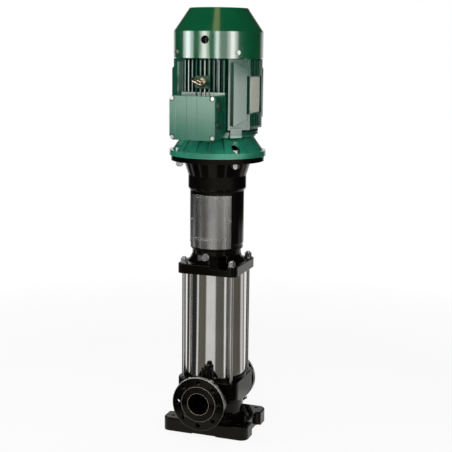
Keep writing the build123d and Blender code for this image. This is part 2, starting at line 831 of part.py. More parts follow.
# Motor stool: foot ring, two legs, upper ring, cone and the flange that carries the motor
stool_foot_height = 12
window_bottom = head_top + stool_foot_height
window_top = window_bottom + window_height
ring_bottom = window_top + 17
cone_bottom = flange_level - 72
flange_underside = flange_level - stool_flange_thickness
cone_top_radius = 123
flange_bolt_radius = motor_bolt_circle / 2
guard_screw_angle = guard_half_angle - 4.5
guard_screw_level = head_top + 101
guard_screw_diameter = 5
window_reach = 2 * leg_radius

with BuildPart() as motor_stool:
    revolve(
        half_section(
            (stool_bore_diameter / 2 - 18, head_top),
            (head_top_diameter / 2, head_top),
            (head_top_diameter / 2, window_bottom - 4),
            (leg_radius, window_bottom),
            (leg_radius, ring_bottom),
            (stool_ring_diameter / 2 - 3, ring_bottom + 3),
            (stool_ring_diameter / 2, ring_bottom + 10),
            (stool_ring_diameter / 2, cone_bottom),
            (cone_top_radius, flange_underside),
            (stool_flange_diameter / 2, flange_underside),
            (stool_flange_diameter / 2, flange_level),
            (motor_register_diameter / 2 + press_gap, flange_level),
            (motor_register_diameter / 2 + press_gap, flange_level - register_depth - 1),
            (cone_top_radius - 14, flange_level - register_depth - 1),
            (stool_bore_diameter / 2, cone_bottom),
            (stool_bore_diameter / 2, window_bottom),
            (stool_bore_diameter / 2 - 18, window_bottom),
        ),
        axis=Axis.Z,
    )
    with BuildSketch(Plane.XY.offset(window_bottom)):
        for turn in (-90, 90):
            with BuildLine():
                Polyline(
                    (0, 0),
                    (
                        window_reach * cos(radians(turn - window_half_angle)),
                        window_reach * sin(radians(turn - window_half_angle)),
                    ),
                    (
                        window_reach * cos(radians(turn + window_half_angle)),
                        window_reach * sin(radians(turn + window_half_angle)),
                    ),
                    close=True,
                )
            make_face()
    extrude(amount=window_height, mode=Mode.SUBTRACT)
    with BuildSketch(Plane.XY.offset(flange_level)):
        with PolarLocations(flange_bolt_radius, 4, start_angle=45):
            Circle(motor_bolt_diameter / 2 + bolt_clearance)
    extrude(amount=-stool_flange_thickness, mode=Mode.SUBTRACT)
    with BuildSketch(Plane.XY.offset(head_top)):
        with PolarLocations(stool_screw_circle / 2, 4, start_angle=45):
            Circle(stool_screw_diameter / 2 + loose_gap)
    extrude(amount=stool_foot_height, mode=Mode.SUBTRACT)
    for turn in (-90, 90):
        for side in (-1, 1):
            with BuildSketch(
                radial_plane(turn + side * guard_screw_angle, leg_radius + 2, guard_screw_level)
            ):
                Circle(guard_screw_diameter / 2 + press_gap)
            extrude(amount=-14, mode=Mode.SUBTRACT)
motor_stool.part.label = "motor_stool"
export_step(motor_stool.part, "parts/motor_stool.step")

with BuildPart() as stool_screws:
    with BuildSketch(Plane.XY.offset(window_bottom)):
        with PolarLocations(stool_screw_circle / 2, 4, start_angle=45):
            Circle(stool_screw_diameter * 0.75)
    extrude(amount=stool_screw_diameter)
    with BuildSketch(Plane.XY.offset(window_bottom)):
        with PolarLocations(stool_screw_circle / 2, 4, start_angle=45):
            Circle(stool_screw_diameter / 2)
    extrude(amount=-stool_foot_height - stool_screw_depth * 0.8)
stool_screws.part.label = "stool_screws"
export_step(stool_screws.part, "parts/stool_screws.step")

# Coupling guards: rolled sheets with folded side lips, held by screws on the legs
guard_inner = leg_radius + seal_gap
guard_outer = guard_inner + guard_thickness
guard_bottom = head_top - 1
guard_bead_height = 3
guard_bead_rise = 0.8
guard_bead_levels = (36, guard_height - 12)
guard_bead_centre = window_reach / 2 - (leg_radius + 2) * cos(radians(guard_half_angle))

for guard_name, guard_side in (("guard_front", -1), ("guard_back", 1)):
    turn = 90 * guard_side
    with BuildPart() as guard:
        with BuildSketch(Plane.XY.offset(guard_bottom)):
            Circle(guard_outer)
            Circle(guard_inner, mode=Mode.SUBTRACT)
            with BuildLine():
                Polyline(
                    (0, 0),
                    (
                        window_reach * cos(radians(turn - guard_half_angle)),
                        window_reach * sin(radians(turn - guard_half_angle)),
                    ),
                    (
                        window_reach * 2 * cos(radians(turn)),
                        window_reach * 2 * sin(radians(turn)),
                    ),
                    (
                        window_reach * cos(radians(turn + guard_half_angle)),
                        window_reach * sin(radians(turn + guard_half_angle)),
                    ),
                    close=True,
                )
            make_face(mode=Mode.INTERSECT)
        extrude(amount=guard_height)
        for level in guard_bead_levels:
            with BuildSketch(Plane.XY.offset(guard_bottom + level)):
                Circle(guard_outer + guard_bead_rise)
                Circle(guard_inner + guard_thickness / 2, mode=Mode.SUBTRACT)
                with Locations((0, -guard_side * guard_bead_centre)):
                    Rectangle(2 * window_reach, window_reach, mode=Mode.SUBTRACT)
            extrude(amount=guard_bead_height)
        for side in (-1, 1):
            with BuildSketch(
                radial_plane(turn + side * guard_screw_angle, leg_radius - 3, guard_screw_level)
            ):
                Circle(guard_screw_diameter / 2 + seal_gap)
            extrude(amount=8, mode=Mode.SUBTRACT)
    guard.part.label = guard_name
    export_step(guard.part, f"parts/{guard_name}.step")

with BuildPart() as guard_screws:
    for turn in (-90, 90):
        for side in (-1, 1):
            angle = turn + side * guard_screw_angle
            with BuildSketch(radial_plane(angle, guard_outer + 0.1, guard_screw_level)):
                Circle(guard_screw_diameter)
            extrude(amount=3.2)
            with BuildSketch(radial_plane(angle, guard_outer + 0.1, guard_screw_level)):
                Circle(guard_screw_diameter / 2)
            extrude(amount=-12)
guard_screws.part.label = "guard_screws"
export_step(guard_screws.part, "parts/guard_screws.step")

# Coupling: two clamp halves on the ends of both shafts, drawn together by screws
coupling_top = flange_level - 50
coupling_bottom = coupling_top - coupling_length
coupling_split = 3
motor_shaft_end = flange_level - shaft_extension
pump_shaft_end = motor_shaft_end - 16
coupling_screw_diameter = 10
coupling_screw_offset = 30
coupling_screw_levels = (30, 80, 150)

with BuildPart() as coupling_halves:
    with BuildSketch(Plane.XY.offset(coupling_bottom)):
        Circle(coupling_diameter / 2)
        Circle(shaft_radius + press_gap, mode=Mode.SUBTRACT)
    extrude(amount=pump_shaft_end + 2 - coupling_bottom)
    with BuildSketch(Plane.XY.offset(pump_shaft_end + 2)):
        Circle(coupling_diameter / 2)
        Circle(motor_shaft_radius + press_gap, mode=Mode.SUBTRACT)
    extrude(amount=coupling_top - pump_shaft_end - 2)
    with BuildSketch(Plane.XY.offset(coupling_bottom)):
        Rectangle(2 * coupling_diameter, coupling_split)
    extrude(amount=coupling_length, mode=Mode.SUBTRACT)
    for side in (-1, 1):
        for level in coupling_screw_levels:
            screw_x = side * coupling_screw_offset
            with BuildSketch(Plane.XZ.offset(-coupling_diameter / 2)):
                with Locations((screw_x, coupling_bottom + level)):
                    Circle(coupling_screw_diameter / 2 + press_gap)
            extrude(amount=coupling_diameter, mode=Mode.SUBTRACT)
            with BuildSketch(Plane.XZ.offset(coupling_diameter * 0.22)):
                with Locations((screw_x, coupling_bottom + level)):
                    Circle(coupling_screw_diameter * 0.82)
            extrude(amount=coupling_diameter, mode=Mode.SUBTRACT)
coupling_halves.part.label = "coupling_halves"
export_step(coupling_halves.part, "parts/coupling_halves.step")

with BuildPart() as coupling_screws:
    for side in (-1, 1):
        for level in coupling_screw_levels:
            screw_x = side * coupling_screw_offset
            with BuildSketch(Plane.XZ.offset(coupling_diameter * 0.22)):
                with Locations((screw_x, coupling_bottom + level)):
                    Circle(coupling_screw_diameter * 0.75)
            extrude(amount=coupling_screw_diameter)
            with BuildSketch(Plane.XZ.offset(coupling_diameter * 0.22)):
                with Locations((screw_x, coupling_bottom + level)):
                    Circle(coupling_screw_diameter / 2)
            extrude(amount=-coupling_diameter * 0.5)
coupling_screws.part.label = "coupling_screws"
export_step(coupling_screws.part, "parts/coupling_screws.step")

# Pump shaft with the lock nut that closes the impeller stack
pump_shaft_foot = stack_level - 34
lock_nut_height = 18

with BuildPart() as pump_shaft:
    with BuildSketch(Plane.XY.offset(pump_shaft_foot)):
        Circle(shaft_radius)
    extrude(amount=pump_shaft_end - pump_shaft_foot)
    chamfer(pump_shaft.edges().group_by(Axis.Z)[0], length=2)
pump_shaft.part.label = "pump_shaft"
export_step(pump_shaft.part, "parts/pump_shaft.step")

with BuildPart() as impeller_nut:
    with BuildSketch(Plane.XY.offset(stack_level + back_level - impeller_width - lock_nut_height)):
        RegularPolygon(shaft_radius + 7, 6, major_radius=False)
        Circle(shaft_radius + press_gap, mode=Mode.SUBTRACT)
    extrude(amount=lock_nut_height)
impeller_nut.part.label = "impeller_nut"
export_step(impeller_nut.part, "parts/impeller_nut.step")

# Drive-end shield: flange with spigot, ribbed cone, bearing seat and the register in the frame
drive_bearing_level = flange_level + 44
shield_bore = motor_shaft_radius + 4
cone_foot_radius = 165
cone_head_radius = 128
cone_wall = 13
shield_ring_level = frame_bottom - 8
panel_depth = 7
panel_margin = 3
panel_sectors = ((-29, 18), (-8, 16), (11, 18))
pocket_headroom = 14
ear_width = 44
ear_reach = 152
register_height = 6

with BuildPart() as drive_end_shield:
    revolve(
        half_section(
            (shield_bore, flange_level - register_depth),
            (motor_register_diameter / 2, flange_level - register_depth),
            (motor_register_diameter / 2, flange_level),
            (motor_flange_diameter / 2, flange_level),
            (motor_flange_diameter / 2, motor_flange_top),
            (cone_foot_radius, motor_flange_top),
            (cone_head_radius, shield_ring_level),
            (core_radius, shield_ring_level),
            (core_radius, frame_bottom),
            (bore_radius - press_gap, frame_bottom),
            (bore_radius - press_gap, frame_bottom + register_height),
            (bore_radius - 14, frame_bottom + register_height),
            (cone_head_radius - cone_wall, shield_ring_level),
            (cone_foot_radius - cone_wall, motor_flange_top),
            (bearing_radius + 9, motor_flange_top),
            (bearing_radius + 9, drive_bearing_level + bearing_width),
            (bearing_radius + press_gap, drive_bearing_level + bearing_width),
            (bearing_radius + press_gap, drive_bearing_level),
            (shield_bore, drive_bearing_level),
        ),
        axis=Axis.Z,
    )
    panel_outline = half_section(
        (cone_foot_radius - panel_depth, motor_flange_top + panel_margin),
        (cone_foot_radius + panel_depth, motor_flange_top + panel_margin),
        (cone_foot_radius + panel_depth, shield_ring_level - panel_margin),
        (cone_head_radius - panel_depth, shield_ring_level - panel_margin),
    )
    for side in (-90, 90):
        for panel_start, panel_arc in panel_sectors:
            panel = revolve(
                panel_outline, axis=Axis.Z, revolution_arc=panel_arc, mode=Mode.PRIVATE
            )
            add(panel.rotate(Axis.Z, side + panel_start), mode=Mode.SUBTRACT)
    for corner in (45, 135, 225, 315):
        with BuildSketch(radial_plane(corner, core_radius - 12, (shield_ring_level + frame_bottom) / 2)):
            Rectangle(ear_width, frame_bottom - shield_ring_level)
        extrude(amount=ear_reach - core_radius + 12)
    with BuildSketch(Plane.XY.offset(motor_flange_top)):
        with PolarLocations(flange_bolt_radius, 4, start_angle=45):
            Circle(motor_bolt_diameter)
    extrude(amount=shield_ring_level - motor_flange_top - pocket_headroom, mode=Mode.SUBTRACT)
    with BuildSketch(Plane.XY.offset(flange_level)):
        with PolarLocations(flange_bolt_radius, 4, start_angle=45):
            Circle(motor_bolt_diameter / 2 + bolt_clearance)
    extrude(amount=motor_flange_thickness, mode=Mode.SUBTRACT)
drive_end_shield.part.label = "drive_end_shield"
export_step(drive_end_shield.part, "parts/drive_end_shield.step")

# Flange bolts and nuts between the motor and its stool
bolt_head_height = 10
with BuildPart() as flange_bolts:
    with BuildSketch(Plane.XY.offset(motor_flange_top)):
        with PolarLocations(flange_bolt_radius, 4, start_angle=45):
            RegularPolygon(nut_hex / 2, 6, major_radius=False)
    extrude(amount=bolt_head_height)
    with BuildSketch(Plane.XY.offset(motor_flange_top)):
        with PolarLocations(flange_bolt_radius, 4, start_angle=45):
            Circle(motor_bolt_diameter / 2)
    extrude(amount=flange_underside - nut_height - 4 - motor_flange_top)
flange_bolts.part.label = "flange_bolts"
export_step(flange_bolts.part, "parts/flange_bolts.step")

with BuildPart() as flange_nuts:
    with BuildSketch(Plane.XY.offset(flange_underside)):
        with PolarLocations(flange_bolt_radius, 4, start_angle=45):
            RegularPolygon(nut_hex / 2, 6, major_radius=False)
            Circle(motor_bolt_diameter / 2 + press_gap, mode=Mode.SUBTRACT)
    extrude(amount=-nut_height)
flange_nuts.part.label = "flange_nuts"
export_step(flange_nuts.part, "parts/flange_nuts.step")

# Motor frame: a bored core, fins on four sides, smooth corner walls and raised foot pads
nameplate_width = 102
nameplate_height = 122
fin_bottom = frame_bottom + 10
fin_top = frame_top
fin_height = fin_top - fin_bottom
fin_middle = (fin_bottom + fin_top) / 2
wall_root = core_radius - 20
nameplate_land_width = nameplate_width + 8
nameplate_land_height = nameplate_height + 8
frame_rim_radius = core_radius + 8
frame_rim_height = 12
pad_centre = frame_bottom + 143
pad_cut = 24
ear_height = 26
box_back = box_front - box_depth
box_level = frame_bottom + box_rise
pedestal_width = 120
pedestal_height = 112
ledge_width = 160
ledge_height = 139
ledge_rise = 80.5
ledge_reach = 152
wire_hole_diameter = 44
eyebolt_level = frame_bottom + 185
eyebolt_boss_width = 56
eyebolt_boss_height = 44
eyebolt_boss_reach = 160
eyebolt_boss_corner = 8
eyebolt_thread = 16
nameplate_pad_reach = 146
nameplate_offset = -22
nameplate_level = frame_bottom + 140
nameplate_thickness = 0.8

with BuildPart() as motor_frame:
    with BuildSketch(Plane.XY.offset(fin_bottom)):
        for n in range(fin_count):
            shift = (n - (fin_count - 1) / 2) * fin_pitch
            with Locations((0, shift)):
                Rectangle(2 * fin_reach, fin_thickness)
            with Locations((shift, 0)):
                Rectangle(fin_thickness, 2 * fin_reach)
    extrude(amount=fin_height)
    revolve(
        half_section(
            (0, fin_bottom),
            (fin_reach - fin_foot_run, fin_bottom),
            (fin_reach, fin_bottom + fin_foot_rise),
            (fin_reach, fin_top - fin_head_chamfer),
            (fin_reach - fin_head_chamfer, fin_top),
            (0, fin_top),
        ),
        axis=Axis.Z,
        mode=Mode.INTERSECT,
    )
    with BuildSketch(Plane.XY.offset(frame_bottom)):
        Circle(core_radius)
    extrude(amount=frame_length)
    with BuildSketch(Plane.XY.offset(frame_bottom)):
        Circle(frame_rim_radius)
    extrude(amount=frame_rim_height)
    for corner, side in ((-45, 1), (45, -1), (135, 1), (225, -1)):
        with BuildSketch(radial_plane(corner, wall_root, fin_middle)):
            with Locations((side * corner_wall_shift, 0)):
                Rectangle(corner_wall_width, fin_height - 2 * corner_wall_inset)
        extrude(amount=corner_wall_distance - wall_root)
        with BuildSketch(radial_plane(corner, core_radius, pad_centre)):
            with BuildLine():
                Polyline(
                    (side * (pad_shift - pad_width / 2), -pad_height / 2),
                    (side * (pad_shift + pad_width / 2), -pad_height / 2 + pad_cut),
                    (side * (pad_shift + pad_width / 2), pad_height / 2 - pad_cut),
                    (side * (pad_shift - pad_width / 2), pad_height / 2),
                    close=True,
                )
            make_face()
        extrude(amount=pad_distance - core_radius)
        with BuildSketch(radial_plane(corner, wall_root, frame_bottom + ear_height / 2)):
            Rectangle(ear_width, ear_height)
        extrude(amount=ear_reach - wall_root)
    with BuildSketch(Plane.XZ.offset(wall_root)):
        with Locations((0, frame_bottom + ledge_rise)):
            Rectangle(ledge_width, ledge_height)
    extrude(amount=ledge_reach - wall_root)
    with BuildSketch(Plane.XZ.offset(wall_root)):
        with Locations((0, eyebolt_level)):
            RectangleRounded(eyebolt_boss_width, eyebolt_boss_height, eyebolt_boss_corner)
    extrude(amount=eyebolt_boss_reach - wall_root)
    with BuildSketch(Plane.XZ.offset(wall_root)):
        with Locations((0, box_level)):
            Rectangle(pedestal_width, pedestal_height)
    extrude(amount=box_back - wall_root)
    with BuildSketch(radial_plane(0, nameplate_pad_reach, nameplate_level)):
        with Locations((nameplate_offset, 0)):
            Rectangle(nameplate_land_width, nameplate_land_height)
    extrude(amount=fin_reach, mode=Mode.SUBTRACT)
    with BuildSketch(radial_plane(0, wall_root, nameplate_level)):
        with Locations((nameplate_offset, 0)):
            Rectangle(nameplate_land_width, nameplate_land_height)
    extrude(amount=nameplate_pad_reach - wall_root)
    with BuildSketch(Plane.XY.offset(frame_bottom)):
        Circle(bore_radius)
    extrude(amount=frame_length, mode=Mode.SUBTRACT)
    with BuildSketch(Plane.XZ.offset(eyebolt_boss_reach)):
        with Locations((0, eyebolt_level)):
            Circle(eyebolt_thread / 2 + press_gap)
    extrude(amount=-24, mode=Mode.SUBTRACT)
    with BuildSketch(Plane.XZ.offset(box_back)):
        with Locations((0, box_level)):
            Circle(wire_hole_diameter / 2)
    extrude(amount=-(box_back - bore_radius + 12), mode=Mode.SUBTRACT)
motor_frame.part.label = "motor_frame"
export_step(motor_frame.part, "parts/motor_frame.step")

# Nameplate, left bare, on its flat beside the fins, and its four rivets
rivet_diameter = 4
rivet_inset = 6
nameplate_face = nameplate_pad_reach + nameplate_thickness

with BuildPart() as nameplate:
    with BuildSketch(radial_plane(0, nameplate_pad_reach, nameplate_level)):
        with Locations((nameplate_offset, 0)):
            RectangleRounded(nameplate_width, nameplate_height, 4)
    extrude(amount=nameplate_thickness)
nameplate.part.label = "nameplate"
export_step(nameplate.part, "parts/nameplate.step")

with BuildPart() as nameplate_rivets:
    with BuildSketch(radial_plane(0, nameplate_face, nameplate_level)):
        with Locations((nameplate_offset, 0)):
            with GridLocations(
                nameplate_width - 2 * rivet_inset, nameplate_height - 2 * rivet_inset, 2, 2
            ):
                Circle(rivet_diameter / 2)
    extrude(amount=1.5)
nameplate_rivets.part.label = "nameplate_rivets"
export_step(nameplate_rivets.part, "parts/nameplate_rivets.step")

# Eyebolt: threaded shank, collar and a ring that is turned about the bolt's own axis
eyebolt_collar = 30
eyebolt_neck = 18
eyebolt_ring_radius = 21.5
eyebolt_bar_radius = 6
eyebolt_turn = 30
eyebolt_eye_reach = eyebolt_boss_reach + 40

with BuildPart() as eyebolt:
    with BuildSketch(Plane.XZ.offset(eyebolt_boss_reach)):
        with Locations((0, eyebolt_level)):
            Circle(eyebolt_thread / 2)
    extrude(amount=-20)
    with BuildSketch(Plane.XZ.offset(eyebolt_boss_reach)):
        with Locations((0, eyebolt_level)):
            Circle(eyebolt_collar / 2)
    extrude(amount=6)
    with BuildSketch(Plane.XZ.offset(eyebolt_boss_reach)):
        with Locations((0, eyebolt_level)):
            Circle(eyebolt_neck / 2)
    extrude(amount=eyebolt_eye_reach - eyebolt_boss_reach - eyebolt_ring_radius + 2)
    ring_normal = (sin(radians(eyebolt_turn)), 0, cos(radians(eyebolt_turn)))
    eye_centre = (0, -eyebolt_eye_reach, eyebolt_level)
    bar_plane = Plane(
        origin=eye_centre, x_dir=(0, -1, 0), z_dir=(cos(radians(eyebolt_turn)), 0, -ring_normal[0])
    )
    with BuildSketch(bar_plane):
        with Locations((eyebolt_ring_radius, 0)):
            Circle(eyebolt_bar_radius)
    revolve(axis=Axis(eye_centre, ring_normal))
eyebolt.part.label = "eyebolt"
export_step(eyebolt.part, "parts/eyebolt.step")

# Stator: slotted core pressed into the frame, with windings in the slots and over both ends
stator_bottom = frame_bottom + 52
stator_top = stator_bottom + stator_length
stator_bore = rotor_diameter / 2 + air_gap
slot_count = 24
slot_width = 10
slot_inner = stator_bore + 4
slot_outer = slot_inner + 22
winding_overhang = 32

with BuildPart() as stator_core:
    with BuildSketch(Plane.XY.offset(stator_bottom)):
        Circle(bore_radius - press_gap)
        Circle(stator_bore, mode=Mode.SUBTRACT)
        with PolarLocations((slot_inner + slot_outer) / 2, slot_count):
            Rectangle(slot_outer - slot_inner, slot_width, mode=Mode.SUBTRACT)
    extrude(amount=stator_length)
stator_core.part.label = "stator_core"
export_step(stator_core.part, "parts/stator_core.step")

with BuildPart() as stator_windings:
    with BuildSketch(Plane.XY.offset(stator_bottom - 2)):
        with PolarLocations((slot_inner + slot_outer) / 2, slot_count):
            Rectangle(slot_outer - slot_inner - loose_gap, slot_width - loose_gap)
    extrude(amount=stator_length + 4)
    for level, rise in ((stator_bottom - 1, -winding_overhang), (stator_top + 1, winding_overhang)):
        with BuildSketch(Plane.XY.offset(level)):
            Circle(slot_outer + 2)
            Circle(slot_inner - 1, mode=Mode.SUBTRACT)
        extrude(amount=rise)
stator_windings.part.label = "stator_windings"
export_step(stator_windings.part, "parts/stator_windings.step")

# Motor shaft, stepped for the bearings, rotor and fan
rear_bearing_level = frame_top - 20
shaft_body_radius = bearing_bore_radius + 2.5
fan_seat_radius = bearing_bore_radius - 3.5
motor_shaft_top = cowl_bottom + 77
rotor_ring_height = 12

with BuildPart() as motor_shaft:
    revolve(
        half_section(
            (0, motor_shaft_end),
            (motor_shaft_radius - 2, motor_shaft_end),
            (motor_shaft_radius, motor_shaft_end + 2),
            (motor_shaft_radius, motor_flange_top),
            (bearing_bore_radius, motor_flange_top),
            (bearing_bore_radius, drive_bearing_level + bearing_width),
            (shaft_body_radius, drive_bearing_level + bearing_width),
            (shaft_body_radius, rear_bearing_level),
            (bearing_bore_radius, rear_bearing_level),
            (bearing_bore_radius, rear_bearing_level + bearing_width),
            (fan_seat_radius, rear_bearing_level + bearing_width),
            (fan_seat_radius, motor_shaft_top),
            (0, motor_shaft_top),
        ),
        axis=Axis.Z,
    )
motor_shaft.part.label = "motor_shaft"
export_step(motor_shaft.part, "parts/motor_shaft.step")

with BuildPart() as rotor_core:
    with BuildSketch(Plane.XY.offset(stator_bottom)):
        Circle(rotor_diameter / 2)
        Circle(shaft_body_radius + press_gap, mode=Mode.SUBTRACT)
        with PolarLocations(rotor_diameter * 0.28, 6):
            Circle(rotor_diameter * 0.06, mode=Mode.SUBTRACT)
    extrude(amount=stator_length)
    for level, rise in ((stator_bottom, -rotor_ring_height), (stator_top, rotor_ring_height)):
        with BuildSketch(Plane.XY.offset(level)):
            Circle(rotor_diameter / 2 - 2)
            Circle(rotor_diameter * 0.37, mode=Mode.SUBTRACT)
        extrude(amount=rise)
rotor_core.part.label = "rotor_core"
export_step(rotor_core.part, "parts/rotor_core.step")

# Rear end shield: register and flange on the frame, bearing seat and four lugs for the cowl
shield_thickness = 8
lug_height = 24
lug_width = 22
lug_reach = cowl_diameter / 2 - cowl_wall - 1.2
cowl_screw_level = frame_top + 13
cowl_screw_diameter = 8
cowl_screw_head = 17

with BuildPart() as rear_end_shield:
    revolve(
        half_section(
            (bearing_radius + press_gap, rear_bearing_level),
            (bearing_radius + 9, rear_bearing_level),
            (bearing_radius + 9, frame_top - 4),
            (bore_radius - 14, frame_top - 4),
            (bore_radius - 14, frame_top - register_height),
            (bore_radius - press_gap, frame_top - register_height),
            (bore_radius - press_gap, frame_top),
            (core_radius, frame_top),
            (core_radius, frame_top + shield_thickness),
            (bearing_radius + 20, frame_top + shield_thickness),
            (bearing_radius + 10, frame_top + shield_thickness + 5),
            (fan_seat_radius + 7, frame_top + shield_thickness + 5),
            (fan_seat_radius + 7, rear_bearing_level + bearing_width),
            (bearing_radius + press_gap, rear_bearing_level + bearing_width),
        ),
        axis=Axis.Z,
    )
    for corner in (45, 135, 225, 315):
        with BuildSketch(radial_plane(corner, core_radius - 14, frame_top + lug_height / 2)):
            Rectangle(lug_width, lug_height)
        extrude(amount=lug_reach - core_radius + 14)
        with BuildSketch(radial_plane(corner, lug_reach, cowl_screw_level)):
            Circle(cowl_screw_diameter / 2 + press_gap)
        extrude(amount=-20, mode=Mode.SUBTRACT)
rear_end_shield.part.label = "rear_end_shield"
export_step(rear_end_shield.part, "parts/rear_end_shield.step")

# Bearings: the outer rings sit in the two shields, the inner rings and balls turn with the shaft
ring_thickness = 6.5
ball_count = 9
ball_pitch_radius = (bearing_radius + bearing_bore_radius) / 2
ball_radius = (bearing_radius - bearing_bore_radius) / 2 - ring_thickness - running_gap
bearing_levels = (drive_bearing_level, rear_bearing_level)

with BuildPart() as bearing_outer_rings:
    for level in bearing_levels:
        with BuildSketch(Plane.XY.offset(level)):
            Circle(bearing_radius)
            Circle(bearing_radius - ring_thickness, mode=Mode.SUBTRACT)
        extrude(amount=bearing_width)
bearing_outer_rings.part.label = "bearing_outer_rings"
export_step(bearing_outer_rings.part, "parts/bearing_outer_rings.step")

with BuildPart() as bearing_inner_rings:
    for level in bearing_levels:
        with BuildSketch(Plane.XY.offset(level)):
            Circle(bearing_bore_radius + ring_thickness)
            Circle(bearing_bore_radius + press_gap, mode=Mode.SUBTRACT)
        extrude(amount=bearing_width)
bearing_inner_rings.part.label = "bearing_inner_rings"
export_step(bearing_inner_rings.part, "parts/bearing_inner_rings.step")

with BuildPart() as bearing_balls:
    for level in bearing_levels:
        for n in range(ball_count):
            turn = radians(360 / ball_count * n)
            ball_centre = (
                ball_pitch_radius * cos(turn),
                ball_pitch_radius * sin(turn),
                level + bearing_width / 2,
            )
            with Locations(ball_centre):
                Sphere(ball_radius)
bearing_balls.part.label = "bearing_balls"
export_step(bearing_balls.part, "parts/bearing_balls.step")

# Cooling fan on the end of the motor shaft, inside the cowl
fan_hub_radius = 34
fan_bottom = cowl_bottom + 38
fan_hub_height = 32
fan_blade_height = 34
fan_plate_thickness = 3.5

with BuildPart() as cooling_fan:
    with BuildSketch(Plane.XY.offset(fan_bottom)):
        with PolarLocations((fan_hub_radius + fan_diameter / 2) / 2 - 2, fan_blade_count):
            Rectangle(fan_diameter / 2 - fan_hub_radius, fan_plate_thickness)
    extrude(amount=fan_blade_height)
    with BuildSketch(Plane.XY.offset(fan_bottom)):
        Circle(fan_diameter * 0.36)
    extrude(amount=fan_plate_thickness)
    with BuildSketch(Plane.XY.offset(fan_bottom)):
        Circle(fan_hub_radius)
    extrude(amount=fan_hub_height)
    with BuildSketch(Plane.XY.offset(fan_bottom)):
        Circle(fan_seat_radius + press_gap)
    extrude(amount=fan_hub_height, mode=Mode.SUBTRACT)
cooling_fan.part.label = "cooling_fan"
export_step(cooling_fan.part, "parts/cooling_fan.step")

# Fan cowl: cylinder and cone in sheet metal, with an inlet grille on top and one round hole in front
cowl_radius = cowl_diameter / 2
cowl_top_radius = cowl_top_diameter / 2
cowl_hole_angle = -87
cowl_hole_diameter = 28
cowl_hole_level = cowl_bottom + 63
grille_slot_width = 7
grille_rings = ((28, 20, 10), (53, 22, 20), (79, 22, 30))

with BuildPart() as fan_cowl:
    revolve(
        half_section(
            (cowl_radius - cowl_wall, cowl_bottom),
            (cowl_radius, cowl_bottom),
            (cowl_radius, cowl_shoulder),
            (cowl_top_radius, cowl_top),
            (0, cowl_top),
            (0, cowl_top - cowl_wall),
            (cowl_top_radius - cowl_wall * 0.7, cowl_top - cowl_wall),
            (cowl_radius - cowl_wall, cowl_shoulder - cowl_wall * 0.3),
        ),
        axis=Axis.Z,
    )
    with BuildSketch(Plane.XY.offset(cowl_top)):
        for ring_radius, slot_length, slot_number in grille_rings:
            with PolarLocations(ring_radius, slot_number):
                SlotOverall(slot_length, grille_slot_width)
    extrude(amount=-cowl_wall, mode=Mode.SUBTRACT)
    with BuildSketch(radial_plane(cowl_hole_angle, cowl_radius - 8, cowl_hole_level)):
        Circle(cowl_hole_diameter / 2)
    extrude(amount=16, mode=Mode.SUBTRACT)
    for corner in (45, 135, 225, 315):
        with BuildSketch(radial_plane(corner, cowl_radius - 8, cowl_screw_level)):
            Circle(cowl_screw_diameter / 2 + seal_gap)
        extrude(amount=16, mode=Mode.SUBTRACT)
fan_cowl.part.label = "fan_cowl"
export_step(fan_cowl.part, "parts/fan_cowl.step")

with BuildPart() as cowl_screws:
    for corner in (45, 135, 225, 315):
        screw_seat = radial_plane(corner, cowl_radius + 0.1, cowl_screw_level)
        with BuildSketch(screw_seat):
            Circle(cowl_screw_head / 2)
        extrude(amount=2)
        with BuildSketch(screw_seat):
            RegularPolygon(cowl_screw_diameter * 0.8, 6, major_radius=False)
        extrude(amount=6.5)
        with BuildSketch(screw_seat):
            Circle(cowl_screw_diameter / 2)
        extrude(amount=-20)
cowl_screws.part.label = "cowl_screws"
export_step(cowl_screws.part, "parts/cowl_screws.step")

# Terminal box: cast housing on the frame's pedestal, gasket and lid with screws in corner recesses
lid_back = box_front - lid_thickness
box_rim = lid_back - gasket_thickness
box_floor = 6
lid_screw_inset = 9
lid_screw_x = box_width - 2 * lid_screw_inset
lid_screw_z = box_height - 2 * lid_screw_inset
lid_screw_diameter = 6
lid_screw_head = 13
lid_screw_depth = 24
lid_recess_radius = 10
lid_recess_depth = 6
lid_crease_offset = 18.5
lid_crease_width = 1
lid_crease_depth = 0.6
screw_post_radius = 8
entry_reach = 224
entries = ((40, 14.5), (-23, 10.5))
entry_boss_width = 6
entry_boss_height = 2.5
plug_flange = 4
plug_flange_height = 4

